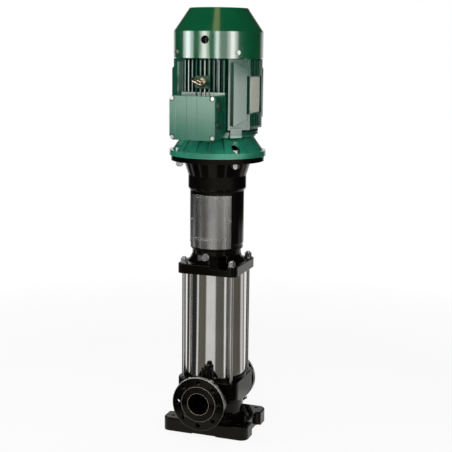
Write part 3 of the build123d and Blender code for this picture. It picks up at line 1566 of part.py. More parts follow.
with BuildPart() as terminal_box:
    with BuildSketch(Plane.XZ.offset(box_back)):
        with Locations((0, box_level)):
            RectangleRounded(box_width, box_height, box_corner_radius)
    extrude(amount=box_rim - box_back)
    with BuildSketch(Plane.XZ.offset(box_back + box_floor)):
        with Locations((0, box_level)):
            RectangleRounded(
                box_width - 2 * box_wall, box_height - 2 * box_wall, box_corner_radius - box_wall
            )
    extrude(amount=box_rim - box_back - box_floor, mode=Mode.SUBTRACT)
    with BuildSketch(Plane.XZ.offset(box_back)):
        with Locations((0, box_level)):
            with GridLocations(lid_screw_x, lid_screw_z, 2, 2):
                Circle(screw_post_radius)
    extrude(amount=box_rim - box_back)
    for rise, entry_radius in entries:
        entry_plane = Plane(
            origin=(box_width / 2, -entry_reach, box_level + rise), x_dir=(0, 1, 0), z_dir=(1, 0, 0)
        )
        with BuildSketch(entry_plane):
            Circle(entry_radius + entry_boss_width)
        extrude(amount=entry_boss_height)
        with BuildSketch(entry_plane.offset(entry_boss_height)):
            Circle(entry_radius)
        extrude(amount=-box_wall - entry_boss_height, mode=Mode.SUBTRACT)
    with BuildSketch(Plane.XZ.offset(box_rim)):
        with Locations((0, box_level)):
            with GridLocations(lid_screw_x, lid_screw_z, 2, 2):
                Circle(lid_screw_diameter / 2 + press_gap)
    extrude(amount=-lid_screw_depth, mode=Mode.SUBTRACT)
    with BuildSketch(Plane.XZ.offset(box_back)):
        with Locations((0, box_level)):
            Circle(wire_hole_diameter / 2)
    extrude(amount=box_floor, mode=Mode.SUBTRACT)
terminal_box.part.label = "terminal_box"
export_step(terminal_box.part, "parts/terminal_box.step")

with BuildPart() as lid_gasket:
    with BuildSketch(Plane.XZ.offset(box_rim)):
        with Locations((0, box_level)):
            RectangleRounded(box_width, box_height, box_corner_radius)
            Rectangle(
                box_width - 4 * lid_screw_inset, box_height - 2 * box_wall, mode=Mode.SUBTRACT
            )
            Rectangle(
                box_width - 2 * box_wall, box_height - 4 * lid_screw_inset, mode=Mode.SUBTRACT
            )
            with GridLocations(lid_screw_x, lid_screw_z, 2, 2):
                Circle(lid_screw_diameter / 2 + seal_gap, mode=Mode.SUBTRACT)
    extrude(amount=gasket_thickness)
lid_gasket.part.label = "lid_gasket"
export_step(lid_gasket.part, "parts/lid_gasket.step")

with BuildPart() as terminal_box_lid:
    with BuildSketch(Plane.XZ.offset(lid_back)):
        with Locations((0, box_level)):
            RectangleRounded(box_width, box_height, box_corner_radius)
    extrude(amount=lid_thickness)
    chamfer(terminal_box_lid.faces().sort_by(Axis.Y)[0].edges(), length=1.2)
    with BuildSketch(Plane.XZ.offset(lid_back)):
        with Locations((0, box_level)):
            Rectangle(box_width - 6 * lid_screw_inset, box_height - 2 * box_wall)
    extrude(amount=lid_thickness / 2, mode=Mode.SUBTRACT)
    with BuildSketch(Plane.XZ.offset(box_front)):
        with Locations((0, box_level)):
            with GridLocations(lid_screw_x, lid_screw_z, 2, 2):
                Circle(lid_recess_radius)
    extrude(amount=-lid_recess_depth, mode=Mode.SUBTRACT)
    with BuildSketch(Plane.XZ.offset(box_front)):
        for side in (-1, 1):
            with Locations((side * lid_crease_offset, box_level)):
                Rectangle(lid_crease_width, box_height)
    extrude(amount=-lid_crease_depth, mode=Mode.SUBTRACT)
    with BuildSketch(Plane.XZ.offset(box_front)):
        with Locations((0, box_level)):
            with GridLocations(lid_screw_x, lid_screw_z, 2, 2):
                Circle(lid_screw_diameter / 2 + seal_gap)
    extrude(amount=-lid_thickness, mode=Mode.SUBTRACT)
terminal_box_lid.part.label = "terminal_box_lid"
export_step(terminal_box_lid.part, "parts/terminal_box_lid.step")

with BuildPart() as lid_screws:
    head_plane = Plane.XZ.offset(box_front - lid_recess_depth)
    with BuildSketch(head_plane):
        with Locations((0, box_level)):
            with GridLocations(lid_screw_x, lid_screw_z, 2, 2):
                Circle(lid_screw_head / 2)
    extrude(amount=5)
    with BuildSketch(head_plane):
        with Locations((0, box_level)):
            with GridLocations(lid_screw_x, lid_screw_z, 2, 2):
                Circle(lid_screw_diameter / 2)
    extrude(amount=-lid_screw_depth)
lid_screws.part.label = "lid_screws"
export_step(lid_screws.part, "parts/lid_screws.step")

with BuildPart() as cable_entry_plugs:
    for rise, entry_radius in entries:
        plug_seat = Plane(
            origin=(box_width / 2 + entry_boss_height, -entry_reach, box_level + rise),
            x_dir=(0, 1, 0),
            z_dir=(1, 0, 0),
        )
        with BuildSketch(plug_seat):
            Circle(entry_radius - press_gap)
        extrude(amount=-box_wall - entry_boss_height)
        with BuildSketch(plug_seat):
            Circle(entry_radius + plug_flange)
        extrude(amount=plug_flange_height)
        with BuildSketch(plug_seat.offset(plug_flange_height)):
            Rectangle(2 * entry_radius, plug_flange / 2)
        extrude(amount=-plug_flange_height / 2, mode=Mode.SUBTRACT)
cable_entry_plugs.part.label = "cable_entry_plugs"
export_step(cable_entry_plugs.part, "parts/cable_entry_plugs.step")

board_level = box_level + 42
board_thickness = 12
stud_diameter = 6
stud_pitch = 28

with BuildPart() as terminal_board:
    with BuildSketch(Plane.XZ.offset(box_back + box_floor)):
        with Locations((0, board_level)):
            RectangleRounded(4 * stud_pitch, 1.6 * stud_pitch, 4)
            with GridLocations(stud_pitch, stud_pitch * 0.8, 3, 2):
                Circle(stud_diameter / 2 + press_gap, mode=Mode.SUBTRACT)
    extrude(amount=board_thickness)
terminal_board.part.label = "terminal_board"
export_step(terminal_board.part, "parts/terminal_board.step")

with BuildPart() as terminal_studs:
    stud_plane = Plane.XZ.offset(box_back + box_floor + board_thickness)
    with BuildSketch(stud_plane):
        with Locations((0, board_level)):
            with GridLocations(stud_pitch, stud_pitch * 0.8, 3, 2):
                Circle(stud_diameter / 2)
    extrude(amount=18)
    with BuildSketch(stud_plane):
        with Locations((0, board_level)):
            with GridLocations(stud_pitch, stud_pitch * 0.8, 3, 2):
                Circle(stud_diameter / 2)
    extrude(amount=-board_thickness / 2)
    with BuildSketch(stud_plane):
        with Locations((0, board_level)):
            with GridLocations(stud_pitch, stud_pitch * 0.8, 3, 2):
                RegularPolygon(stud_diameter * 0.85, 6, major_radius=False)
    extrude(amount=6)
terminal_studs.part.label = "terminal_studs"
export_step(terminal_studs.part, "parts/terminal_studs.step")
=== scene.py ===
import json
import math

import bpy
from mathutils import Matrix, Vector


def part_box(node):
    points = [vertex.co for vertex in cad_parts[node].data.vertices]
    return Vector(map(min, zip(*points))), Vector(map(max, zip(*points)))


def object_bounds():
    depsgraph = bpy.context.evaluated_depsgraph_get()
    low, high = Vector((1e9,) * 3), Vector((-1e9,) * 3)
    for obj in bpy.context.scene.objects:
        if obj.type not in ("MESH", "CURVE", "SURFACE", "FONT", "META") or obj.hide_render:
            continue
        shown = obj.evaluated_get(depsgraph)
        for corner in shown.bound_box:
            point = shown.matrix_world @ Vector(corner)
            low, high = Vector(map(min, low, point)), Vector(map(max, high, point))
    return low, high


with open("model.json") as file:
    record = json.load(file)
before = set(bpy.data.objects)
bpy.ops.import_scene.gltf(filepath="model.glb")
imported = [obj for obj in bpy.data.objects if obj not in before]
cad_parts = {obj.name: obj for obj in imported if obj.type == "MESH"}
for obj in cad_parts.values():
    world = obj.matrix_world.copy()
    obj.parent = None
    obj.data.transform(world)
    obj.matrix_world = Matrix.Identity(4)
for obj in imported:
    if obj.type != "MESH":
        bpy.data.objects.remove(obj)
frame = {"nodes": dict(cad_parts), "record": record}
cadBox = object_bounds()
nodes = frame["nodes"]
print("frame loaded")


# Camera, at the photograph's viewing angle: metres for its place, degrees for its turns
camera = {
    "spot": (1.2482, -3.4034, 1.4155),
    "heading": 19.61,
    "pitch": 10.13,
    "roll": 0.63,
    "view": 25.48,
    "side": -69.86,  # where it stands round the pump's axis, from +X
    "film": 36,
    "clip": (0.1, 60),
}


def makeCamera(s):
    h, p, r = (math.radians(s[k]) for k in ("heading", "pitch", "roll"))
    ahead = Vector((-math.sin(h) * math.cos(p), math.cos(h) * math.cos(p), -math.sin(p)))
    level = Vector((math.cos(h), math.sin(h), 0))
    upright = level.cross(ahead)
    right = level * math.cos(r) + upright * math.sin(r)
    up = upright * math.cos(r) - level * math.sin(r)
    turn = Matrix((right, up, -ahead)).transposed()
    data = bpy.data.cameras.new("camera")
    data.sensor_width = s["film"]
    data.lens = s["film"] / 2 / math.tan(math.radians(s["view"] / 2))
    data.clip_start, data.clip_end = s["clip"]
    eye = bpy.data.objects.new("camera", data)
    eye.matrix_world = Matrix.Translation(s["spot"]) @ turn.to_4x4()
    bpy.context.scene.collection.objects.link(eye)
    bpy.context.scene.camera = eye


makeCamera(camera)
print("camera set")


# Node helpers
def addNode(tree, kind, spot=(0, 0), **settings):
    node = tree.nodes.new("ShaderNode" + kind)
    node.location = spot
    for key, value in settings.items():
        setattr(node, key, value)
    return node


def setInputs(node, **values):
    for key, value in values.items():
        node.inputs[key.replace("_", " ")].default_value = value


def addMath(tree, job, spot, *values):
    node = addNode(tree, "Math", spot, operation=job)
    for cell, value in zip(node.inputs, values):
        if isinstance(value, (int, float)):
            cell.default_value = value
        else:
            tree.links.new(value, cell)
    return node.outputs[0]


def addRange(tree, spot, value, start, end=(0.0, 1.0)):
    # Spreads one span of values over another, and holds them at its ends
    node = addNode(tree, "MapRange", spot)
    setInputs(node, From_Min=start[0], From_Max=start[1], To_Min=end[0], To_Max=end[1])
    tree.links.new(value, node.inputs["Value"])
    return node.outputs["Result"]


def addRamp(tree, spot, stops, source):
    node = addNode(tree, "ValToRGB", spot)
    cells = node.color_ramp.elements
    while len(cells) < len(stops):
        cells.new(1.0)
    for cell, (place, shade) in zip(cells, stops):
        cell.position = place
        cell.color = (*shade, 1) if isinstance(shade, tuple) else (shade, shade, shade, 1)
    tree.links.new(source, node.inputs["Fac"])
    return node.outputs["Color"]


def blendColours(tree, spot, job, amount, first, second):
    node = addNode(tree, "Mix", spot, data_type="RGBA", blend_type=job)
    for label, value in (("Factor", amount), ("A", first), ("B", second)):
        cell = node.inputs[label]
        if isinstance(value, bpy.types.NodeSocket):
            tree.links.new(value, cell)
        else:
            cell.default_value = value
    return node.outputs["Result"]


def makeGroup(name, sockets):
    tree = bpy.data.node_groups.new(name, "ShaderNodeTree")
    for label, way, kind, value in sockets:
        socket = tree.interface.new_socket(name=label, in_out=way, socket_type="NodeSocket" + kind)
        if value is not None:
            socket.default_value = value
    enter = tree.nodes.new("NodeGroupInput")
    enter.location = (-1200, 0)
    leave = tree.nodes.new("NodeGroupOutput")
    leave.location = (700, 0)
    return tree, enter.outputs, leave.inputs


def objectPlace(tree, spot=(-1200, -300)):
    return addNode(tree, "TexCoord", spot).outputs["Object"]


def objectParts(tree):
    # X, Y and Z on the pump's own axes
    part = addNode(tree, "SeparateXYZ", (-900, -700))
    tree.links.new(objectPlace(tree, (-1100, -700)), part.inputs["Vector"])
    return part.outputs


# What all materials share: the spans that the effects stretch, and how strongly they act
effects = {
    "toneSpan": (0.35, 0.65),     # noise over which a colour goes from dark to light
    "glossSpan": (0.3, 0.7),      # noise over which the roughness changes
    # Edges below are lightened both as wear and as a painted highlight
    "bend": (0.99, 0.82),         # cosine of a normal's turn at an edge, from no wear to full wear
    "breakup": (0.38, 0.62),      # noise over which worn edges break off
    "open": (0.3, 0.78),          # free sky over which a recess turns into an open face
    "pit": (0.05, 0.2),           # from the middle of a pit to its rim
    "pitDepth": 0.25,
    "pebbleDepth": 0.45,
    "waveDepth": 1.1,
    "recessRough": 0.4,           # how much duller a casting is down in its recesses
    "cloud": (0.9, 1.0),          # slow drift of tone over brushed metal
}


# Rounded edges: the normal of a softened corner, and a broken mask along it, by which paints lighten
# their edges as wear and as a painted highlight
def makeSoftEdge():
    tree, enter, leave = makeGroup("softEdge", (
        ("Radius", "INPUT", "Float", 0.0015),
        ("Breakup", "INPUT", "Float", 60.0),
        ("Normal", "OUTPUT", "Vector", None),
        ("WearAndHighlight", "OUTPUT", "Float", None),
    ))
    link = tree.links.new
    bevel = addNode(tree, "Bevel", (-900, 100), samples=4)
    link(enter["Radius"], bevel.inputs["Radius"])
    shape = addNode(tree, "NewGeometry", (-900, -100))
    dot = addNode(tree, "VectorMath", (-650, 0), operation="DOT_PRODUCT")
    link(bevel.outputs["Normal"], dot.inputs[0])
    link(shape.outputs["Normal"], dot.inputs[1])
    bend = addRange(tree, (-450, 0), dot.outputs["Value"], effects["bend"])
    breakup = addNode(tree, "TexNoise", (-650, -300))
    setInputs(breakup, Detail=4.0, Roughness=0.65)
    link(objectPlace(tree), breakup.inputs["Vector"])
    link(enter["Breakup"], breakup.inputs["Scale"])
    patchy = addRange(tree, (-450, -300), breakup.outputs["Fac"], effects["breakup"])
    link(addMath(tree, "MULTIPLY", (-200, -100), bend, patchy), leave["WearAndHighlight"])
    link(bevel.outputs["Normal"], leave["Normal"])
    return tree


# Recess: 1 on open faces, towards 0 down between fins, ribs and bosses; castings darken their colour by
# it, as painted shade
def makeRecess():
    tree, enter, leave = makeGroup("recess", (
        ("Reach", "INPUT", "Float", 0.03),
        ("Open", "OUTPUT", "Float", None),
    ))
    sky = addNode(tree, "AmbientOcclusion", (-700, 0), samples=6, only_local=True)
    tree.links.new(enter["Reach"], sky.inputs["Distance"])
    tree.links.new(addRange(tree, (-400, 0), sky.outputs["AO"], effects["open"]), leave["Open"])
    return tree


# Paint film: a fine orange peel and a slow drift of tone
def makePaintFilm():
    tree, enter, leave = makeGroup("paintFilm", (
        ("Scale", "INPUT", "Float", 400.0),
        ("Peel", "INPUT", "Float", 0.1),
        ("Normal", "INPUT", "Vector", None),
        ("Tone", "OUTPUT", "Float", None),
        ("Normal", "OUTPUT", "Vector", None),
    ))
    link = tree.links.new
    place = objectPlace(tree)
    fine = addNode(tree, "TexNoise", (-800, 100))
    setInputs(fine, Detail=2.0, Roughness=0.5)
    slow = addNode(tree, "TexNoise", (-800, -200))
    setInputs(slow, Scale=9.0, Detail=4.0, Roughness=0.55)
    bump = addNode(tree, "Bump", (-300, 100))
    setInputs(bump, Distance=0.0005)
    link(place, fine.inputs["Vector"])
    link(place, slow.inputs["Vector"])
    link(enter["Scale"], fine.inputs["Scale"])
    link(enter["Peel"], bump.inputs["Strength"])
    link(enter["Normal"], bump.inputs["Normal"])
    link(fine.outputs["Fac"], bump.inputs["Height"])
    link(slow.outputs["Fac"], leave["Tone"])
    link(bump.outputs["Normal"], leave["Normal"])
    return tree


# Sand casting: pebbled skin, a few pits and broad low waves
def makeCastSkin():
    tree, enter, leave = makeGroup("castSkin", (
        ("Grain", "INPUT", "Float", 260.0),
        ("Depth", "INPUT", "Float", 0.3),
        ("Normal", "INPUT", "Vector", None),
        ("Tone", "OUTPUT", "Float", None),
        ("Grit", "OUTPUT", "Float", None),
        ("Normal", "OUTPUT", "Vector", None),
    ))
    link = tree.links.new
    place = objectPlace(tree)
    pebble = addNode(tree, "TexNoise", (-800, 250))
    setInputs(pebble, Detail=5.0, Roughness=0.6)
    link(enter["Grain"], pebble.inputs["Scale"])
    wave = addNode(tree, "TexNoise", (-800, 0))
    setInputs(wave, Scale=28.0, Detail=3.0)
    slow = addNode(tree, "TexNoise", (-800, -250))
    setInputs(slow, Scale=7.0, Detail=5.0, Roughness=0.6)
    pits = addNode(tree, "TexVoronoi", (-800, -500), feature="F1")
    setInputs(pits, Scale=95.0, Randomness=1.0)
    for node in (pebble, wave, slow, pits):
        link(place, node.inputs["Vector"])
    pit = addRange(tree, (-550, -500), pits.outputs["Distance"], effects["pit"])
    skin = addMath(tree, "MULTIPLY", (-550, 250), pebble.outputs["Fac"], effects["pebbleDepth"])
    swell = addMath(tree, "MULTIPLY", (-550, 0), wave.outputs["Fac"], effects["waveDepth"])
    hole = addMath(tree, "MULTIPLY", (-350, -400), pit, effects["pitDepth"])
    height = addMath(tree, "ADD", (-350, 100), skin, swell)
    height = addMath(tree, "ADD", (-150, 100), height, hole)
    bump = addNode(tree, "Bump", (100, 100))
    setInputs(bump, Distance=0.0022)
    link(height, bump.inputs["Height"])
    link(enter["Depth"], bump.inputs["Strength"])
    link(enter["Normal"], bump.inputs["Normal"])
    link(slow.outputs["Fac"], leave["Tone"])
    link(pebble.outputs["Fac"], leave["Grit"])
    link(bump.outputs["Normal"], leave["Normal"])
    return tree


# Brushing: long thin strokes along the axis whose stretch is small
def makeBrushing():
    tree, enter, leave = makeGroup("brushing", (
        ("Stretch", "INPUT", "Vector", (900.0, 900.0, 6.0)),
        ("Depth", "INPUT", "Float", 0.1),
        ("Normal", "INPUT", "Vector", None),
        ("Tone", "OUTPUT", "Float", None),
        ("Normal", "OUTPUT", "Vector", None),
    ))
    link = tree.links.new
    scaled = addNode(tree, "VectorMath", (-900, 0), operation="MULTIPLY")
    link(objectPlace(tree), scaled.inputs[0])
    link(enter["Stretch"], scaled.inputs[1])
    stroke = addNode(tree, "TexNoise", (-650, 0))
    setInputs(stroke, Scale=1.0, Detail=3.0, Roughness=0.7)
    link(scaled.outputs["Vector"], stroke.inputs["Vector"])
    bump = addNode(tree, "Bump", (-200, 0))
    setInputs(bump, Distance=0.0003)
    link(stroke.outputs["Fac"], bump.inputs["Height"])
    link(enter["Depth"], bump.inputs["Strength"])
    link(enter["Normal"], bump.inputs["Normal"])
    link(stroke.outputs["Fac"], leave["Tone"])
    link(bump.outputs["Normal"], leave["Normal"])
    return tree


# Band: a mask with soft borders where a value lies close to its middle
def makeSoftBand():
    tree, enter, leave = makeGroup("softBand", (
        ("Value", "INPUT", "Float", 0.0),
        ("Middle", "INPUT", "Float", 0.0),
        ("Half", "INPUT", "Float", 0.001),
        ("Soft", "INPUT", "Float", 0.0005),
        ("Mask", "OUTPUT", "Float", None),
    ))
    link = tree.links.new
    gap = addMath(tree, "SUBTRACT", (-900, 0), enter["Value"], enter["Middle"])
    outer = addMath(tree, "ADD", (-700, -200), enter["Half"], enter["Soft"])
    step = addNode(tree, "MapRange", (-300, 0))
    link(addMath(tree, "ABSOLUTE", (-700, 0), gap), step.inputs["Value"])
    link(outer, step.inputs["From Min"])
    link(enter["Half"], step.inputs["From Max"])
    link(step.outputs["Result"], leave["Mask"])
    return tree


softEdge = makeSoftEdge()
recess = makeRecess()
paintFilm = makePaintFilm()
castSkin = makeCastSkin()
brushing = makeBrushing()
softBand = makeSoftBand()
print("effect groups made")


def addGroup(tree, group, spot, normal=None, **values):
    node = addNode(tree, "Group", spot, node_tree=group)
    setInputs(node, **values)
    if normal is not None:
        tree.links.new(normal, node.inputs["Normal"])
    return node.outputs


def addMask(tree, spot, value, middle, half, soft):
    band = addNode(tree, "Group", spot, node_tree=softBand)
    setInputs(band, Middle=middle, Half=half, Soft=soft)
    tree.links.new(value, band.inputs["Value"])
    return band.outputs["Mask"]


def startMaterial(name, s):
    # Values that are even all over go straight on the shader
    mat = bpy.data.materials.new(name)
    mat.use_nodes = True
    tree = mat.node_tree
    shader = tree.nodes["Principled BSDF"]
    shader.location = (700, 200)
    tree.nodes["Material Output"].location = (1000, 200)
    shader.inputs["Metallic"].default_value = s.get("metal", 0.0)
    shader.inputs["Coat Weight"].default_value = s.get("coat", 0.0)
    shader.inputs["Coat Roughness"].default_value = s.get("coatRough", 0.05)
    shader.inputs["Coat IOR"].default_value = s.get("coatIndex", 1.5)
    shader.inputs["Specular IOR Level"].default_value = s.get("shine", 0.5)
    shader.inputs["Specular Tint"].default_value = (*s.get("tint", (1, 1, 1)), 1)
    return mat, tree, shader


def toneRamp(tree, spot, low, high, tone):
    return addRamp(tree, spot, tuple(zip(effects["toneSpan"], (low, high))), tone)


def spreadRough(tree, spot, tone, s):
    return addRange(tree, spot, tone, effects["glossSpan"], s["rough"])


# Lightens the edges towards the edge colour: wear, and a painted edge highlight
def wearAndHighlightEdges(tree, shader, edge, colour, s):
    wornAndLit = addMath(tree, "MULTIPLY", (-350, 500), edge["WearAndHighlight"], s["wearAndHighlight"])
    mixed = blendColours(tree, (100, 300), "MIX", wornAndLit, colour, (*s["wornAndLit"], 1))
    tree.links.new(mixed, shader.inputs["Base Color"])


def paintedSheet(name, s):
    mat, tree, shader = startMaterial(name, s)
    link = tree.links.new
    edge = addGroup(tree, softEdge, (-900, 300), Radius=s["round"], Breakup=70.0)
    film = addGroup(tree, paintFilm, (-650, 0), edge["Normal"], Scale=s["scale"], Peel=s["peel"])
    colour = toneRamp(tree, (-350, 300), s["dark"], s["light"], film["Tone"])
    wearAndHighlightEdges(tree, shader, edge, colour, s)
    link(spreadRough(tree, (-350, -100), film["Tone"], s), shader.inputs["Roughness"])
    link(film["Normal"], shader.inputs["Normal"])
    return mat, tree, shader


def paintedCasting(name, s):
    mat, tree, shader = startMaterial(name, s)
    link = tree.links.new
    edge = addGroup(tree, softEdge, (-900, 300), Radius=s["round"], Breakup=90.0)
    skin = addGroup(tree, castSkin, (-650, 0), edge["Normal"], Grain=s["scale"], Depth=s["peel"])
    bare = addGroup(tree, recess, (-900, 650), Reach=s["reach"])["Open"]
    colour = toneRamp(tree, (-350, 300), s["dark"], s["light"], skin["Tone"])
    # Painted shade: down in recesses the colour is darkened, to the share deep at the bottom
    shade = addRamp(tree, (-650, 650), ((0.0, s["deep"]), (1.0, 1.0)), bare)
    wearAndHighlightEdges(tree, shader, edge, blendColours(tree, (-100, 300), "MULTIPLY", 1.0, colour, shade), s)
    rough = spreadRough(tree, (-350, -100), skin["Grit"], s)
    hidden = addMath(tree, "SUBTRACT", (-500, -350), 1.0, bare)
    dull = addMath(tree, "MULTIPLY", (-350, -350), hidden, effects["recessRough"])
    link(addMath(tree, "ADD", (-100, -200), rough, dull), shader.inputs["Roughness"])
    if s.get("coat"):
        link(addMath(tree, "MULTIPLY", (-100, -450), bare, s["coat"]), shader.inputs["Coat Weight"])
    link(skin["Normal"], shader.inputs["Normal"])
    return mat, tree, shader


def brushedMetal(name, s):
    mat, tree, shader = startMaterial(name, s)
    link = tree.links.new
    edge = addGroup(tree, softEdge, (-900, 300), Radius=s["round"], Breakup=120.0)
    lines = addGroup(tree, brushing, (-650, 0), edge["Normal"], Stretch=s["stretch"], Depth=s["depth"])
    film = addGroup(tree, paintFilm, (-650, -300), lines["Normal"],
                    Scale=s.get("scale", 300), Peel=s.get("peel", 0.03))
    streak = toneRamp(tree, (-350, 300), s["dark"], s["light"], lines["Tone"])
    cloud = toneRamp(tree, (-350, 50), *effects["cloud"], film["Tone"])
    link(blendColours(tree, (100, 300), "MULTIPLY", 1.0, streak, cloud), shader.inputs["Base Color"])
    link(spreadRough(tree, (-350, -150), lines["Tone"], s), shader.inputs["Roughness"])
    link(film["Normal"], shader.inputs["Normal"])
    return mat, tree, shader


# Painted sheet and plastics: the cowl, the box lid with its satin coat, and small plain pieces
# In each look, the edge colour stands for wear and for a painted highlight
paints = {
    "cowlPaint": dict(dark=(0.0, 0.072, 0.026), light=(0.0, 0.092, 0.032), rough=(0.2, 0.26), scale=700,
                      peel=0.04, coat=1.0, coatRough=0.13, coatIndex=2.0, shine=0.4, round=0.003,
                      wearAndHighlight=0.15, wornAndLit=(0.03, 0.2, 0.11)),
    "lidPaint": dict(dark=(0.016, 0.122, 0.078), light=(0.022, 0.136, 0.088), rough=(0.16, 0.21),
                     scale=900, peel=0.05, shine=0.8, round=0.002, wearAndHighlight=0.3, wornAndLit=(0.2, 0.36, 0.27)),
    "plugPaint": dict(dark=(0.0, 0.03, 0.015), light=(0.0, 0.045, 0.02), rough=(0.25, 0.35), scale=300,
                      peel=0.1, coat=0.3, round=0.001, wearAndHighlight=0.2, wornAndLit=(0.05, 0.2, 0.12)),
    "fanPlastic": dict(dark=(0.15, 0.14, 0.13), light=(0.2, 0.19, 0.175), rough=(0.45, 0.55), scale=300,
                       peel=0.15, round=0.0006, wearAndHighlight=0.2, wornAndLit=(0.3, 0.3, 0.3)),
    "boardPlastic": dict(dark=(0.04, 0.03, 0.025), light=(0.07, 0.05, 0.04), rough=(0.4, 0.5), scale=300,
                         peel=0.1, round=0.0006, wearAndHighlight=0.2, wornAndLit=(0.15, 0.12, 0.1)),
    "rubber": dict(dark=(0.015, 0.015, 0.015), light=(0.025, 0.025, 0.025), rough=(0.6, 0.75), scale=400,
                   peel=0.15, round=0.0005, wearAndHighlight=0.1, wornAndLit=(0.06, 0.06, 0.06)),
    "sealCarbon": dict(dark=(0.02, 0.02, 0.02), light=(0.04, 0.04, 0.04), rough=(0.3, 0.45), scale=400,
                       peel=0.1, round=0.0003, wearAndHighlight=0.2, wornAndLit=(0.12, 0.12, 0.12)),
}

# Painted and bare castings; deep is the share of colour left down in recesses, a painted shade
# Here too the edge colour stands for wear and for a painted highlight
castings = {
    "greenCasting": dict(dark=(0.0, 0.060, 0.034), light=(0.0, 0.095, 0.052), rough=(0.2, 0.3), scale=240,
                         peel=0.14, coat=1.0, coatRough=0.11, coatIndex=1.75, shine=0.25, reach=0.02,
                         deep=0.1, round=0.0025, wearAndHighlight=0.4, wornAndLit=(0.06, 0.26, 0.16)),
    # The drive-end shield's copy of the green casting paint, made lighter as painted light
    "shieldCasting": dict(dark=(0.008, 0.15, 0.085), light=(0.03, 0.33, 0.21), rough=(0.2, 0.3),
                          scale=240, peel=0.3, coat=1.0, coatRough=0.08, coatIndex=1.8, shine=0.25,
                          reach=0.015, deep=0.15, round=0.0025, wearAndHighlight=0.4, wornAndLit=(0.06, 0.32, 0.22)),
    "blackCasting": dict(dark=(0.0010, 0.0008, 0.0006), light=(0.0026, 0.0020, 0.0014),
                         rough=(0.07, 0.12), scale=260, peel=0.05, shine=0.17, tint=(1.0, 0.9, 0.76),
                         reach=0.03, deep=0.3, round=0.003, wearAndHighlight=0.22, wornAndLit=(0.08, 0.07, 0.058)),
    "castAluminium": dict(dark=(0.5, 0.5, 0.52), light=(0.6, 0.6, 0.62), rough=(0.35, 0.5), scale=300,
                          peel=0.2, metal=1.0, reach=0.01, deep=0.4, round=0.001, wearAndHighlight=0.3,
                          wornAndLit=(0.8, 0.8, 0.8)),
    "bareIron": dict(dark=(0.12, 0.11, 0.10), light=(0.2, 0.19, 0.18), rough=(0.4, 0.55), scale=200,
                     peel=0.3, metal=0.7, reach=0.01, deep=0.4, round=0.001, wearAndHighlight=0.4,
                     wornAndLit=(0.4, 0.38, 0.36)),
}

# Metals with a lay: polished, brushed, turned or plated
metals = {
    "sleeveSteel": dict(dark=(0.66, 0.65, 0.625), light=(0.71, 0.70, 0.675), rough=(0.07, 0.11),
                        metal=1.0, round=0.0005, stretch=(500.0, 500.0, 9.0), depth=0.012, scale=24,
                        peel=0.03),
    "guardSteel": dict(dark=(0.36, 0.355, 0.345), light=(0.46, 0.455, 0.44), rough=(0.2, 0.3), metal=1.0,
                       round=0.0008, stretch=(1400.0, 1400.0, 7.0), depth=0.16),
    "zinc": dict(dark=(0.42, 0.42, 0.43), light=(0.56, 0.56, 0.57), rough=(0.28, 0.40), metal=1.0,
                 round=0.0007, stretch=(350.0, 350.0, 350.0), depth=0.12),
    "rodSteel": dict(dark=(0.62, 0.62, 0.61), light=(0.70, 0.70, 0.69), rough=(0.09, 0.16), metal=1.0,
                     round=0.0005, stretch=(700.0, 700.0, 30.0), depth=0.05),
    "yellowZinc": dict(dark=(0.36, 0.29, 0.19), light=(0.58, 0.52, 0.41), rough=(0.14, 0.24), metal=1.0,
                       round=0.001, stretch=(90.0, 90.0, 90.0), depth=0.12),
    "brassPlug": dict(dark=(0.13, 0.125, 0.105), light=(0.25, 0.24, 0.21), rough=(0.22, 0.32), metal=1.0,
                      round=0.001, stretch=(300.0, 300.0, 300.0), depth=0.1),
    "shaftSteel": dict(dark=(0.55, 0.55, 0.56), light=(0.66, 0.66, 0.67), rough=(0.16, 0.26), metal=1.0,
                       round=0.0006, stretch=(8.0, 8.0, 1500.0), depth=0.12),
    "stageSteel": dict(dark=(0.52, 0.52, 0.52), light=(0.62, 0.62, 0.62), rough=(0.22, 0.34), metal=1.0,
                       round=0.0006, stretch=(12.0, 12.0, 900.0), depth=0.12),
    "lamination": dict(dark=(0.14, 0.14, 0.16), light=(0.26, 0.26, 0.28), rough=(0.35, 0.5), metal=0.8,
                       round=0.0003, stretch=(3.0, 3.0, 2000.0), depth=0.5),
    "copper": dict(dark=(0.42, 0.15, 0.06), light=(0.62, 0.28, 0.13), rough=(0.25, 0.4), metal=0.7,
                   round=0.001, stretch=(500.0, 500.0, 40.0), depth=0.5),
    "plateMetal": dict(dark=(0.78, 0.77, 0.67), light=(0.88, 0.87, 0.77), rough=(0.4, 0.48), metal=0.35,
                       round=0.0006, stretch=(30.0, 30.0, 1600.0), depth=0.08),
}

looks = {}
for make, sets in ((paintedSheet, paints), (paintedCasting, castings), (brushedMetal, metals)):
    for name, s in sets.items():
        looks[name] = make(name, s)[0]


def tintWhere(tree, shader, spot, mask, colour):
    cell = shader.inputs["Base Color"]
    plain = cell.links[0].from_socket
    tree.links.new(blendColours(tree, spot, "MIX", mask, plain, (*colour, 1)), cell)


def pressInto(tree, shader, height, depth, strength, sunk=False):
    cell = shader.inputs["Normal"]
    press = addNode(tree, "Bump", (450, -300), invert=sunk)
    setInputs(press, Distance=depth, Strength=strength)
    tree.links.new(height, press.inputs["Height"])
    tree.links.new(cell.links[0].from_socket, press.inputs["Normal"])
    tree.links.new(press.outputs["Normal"], cell)


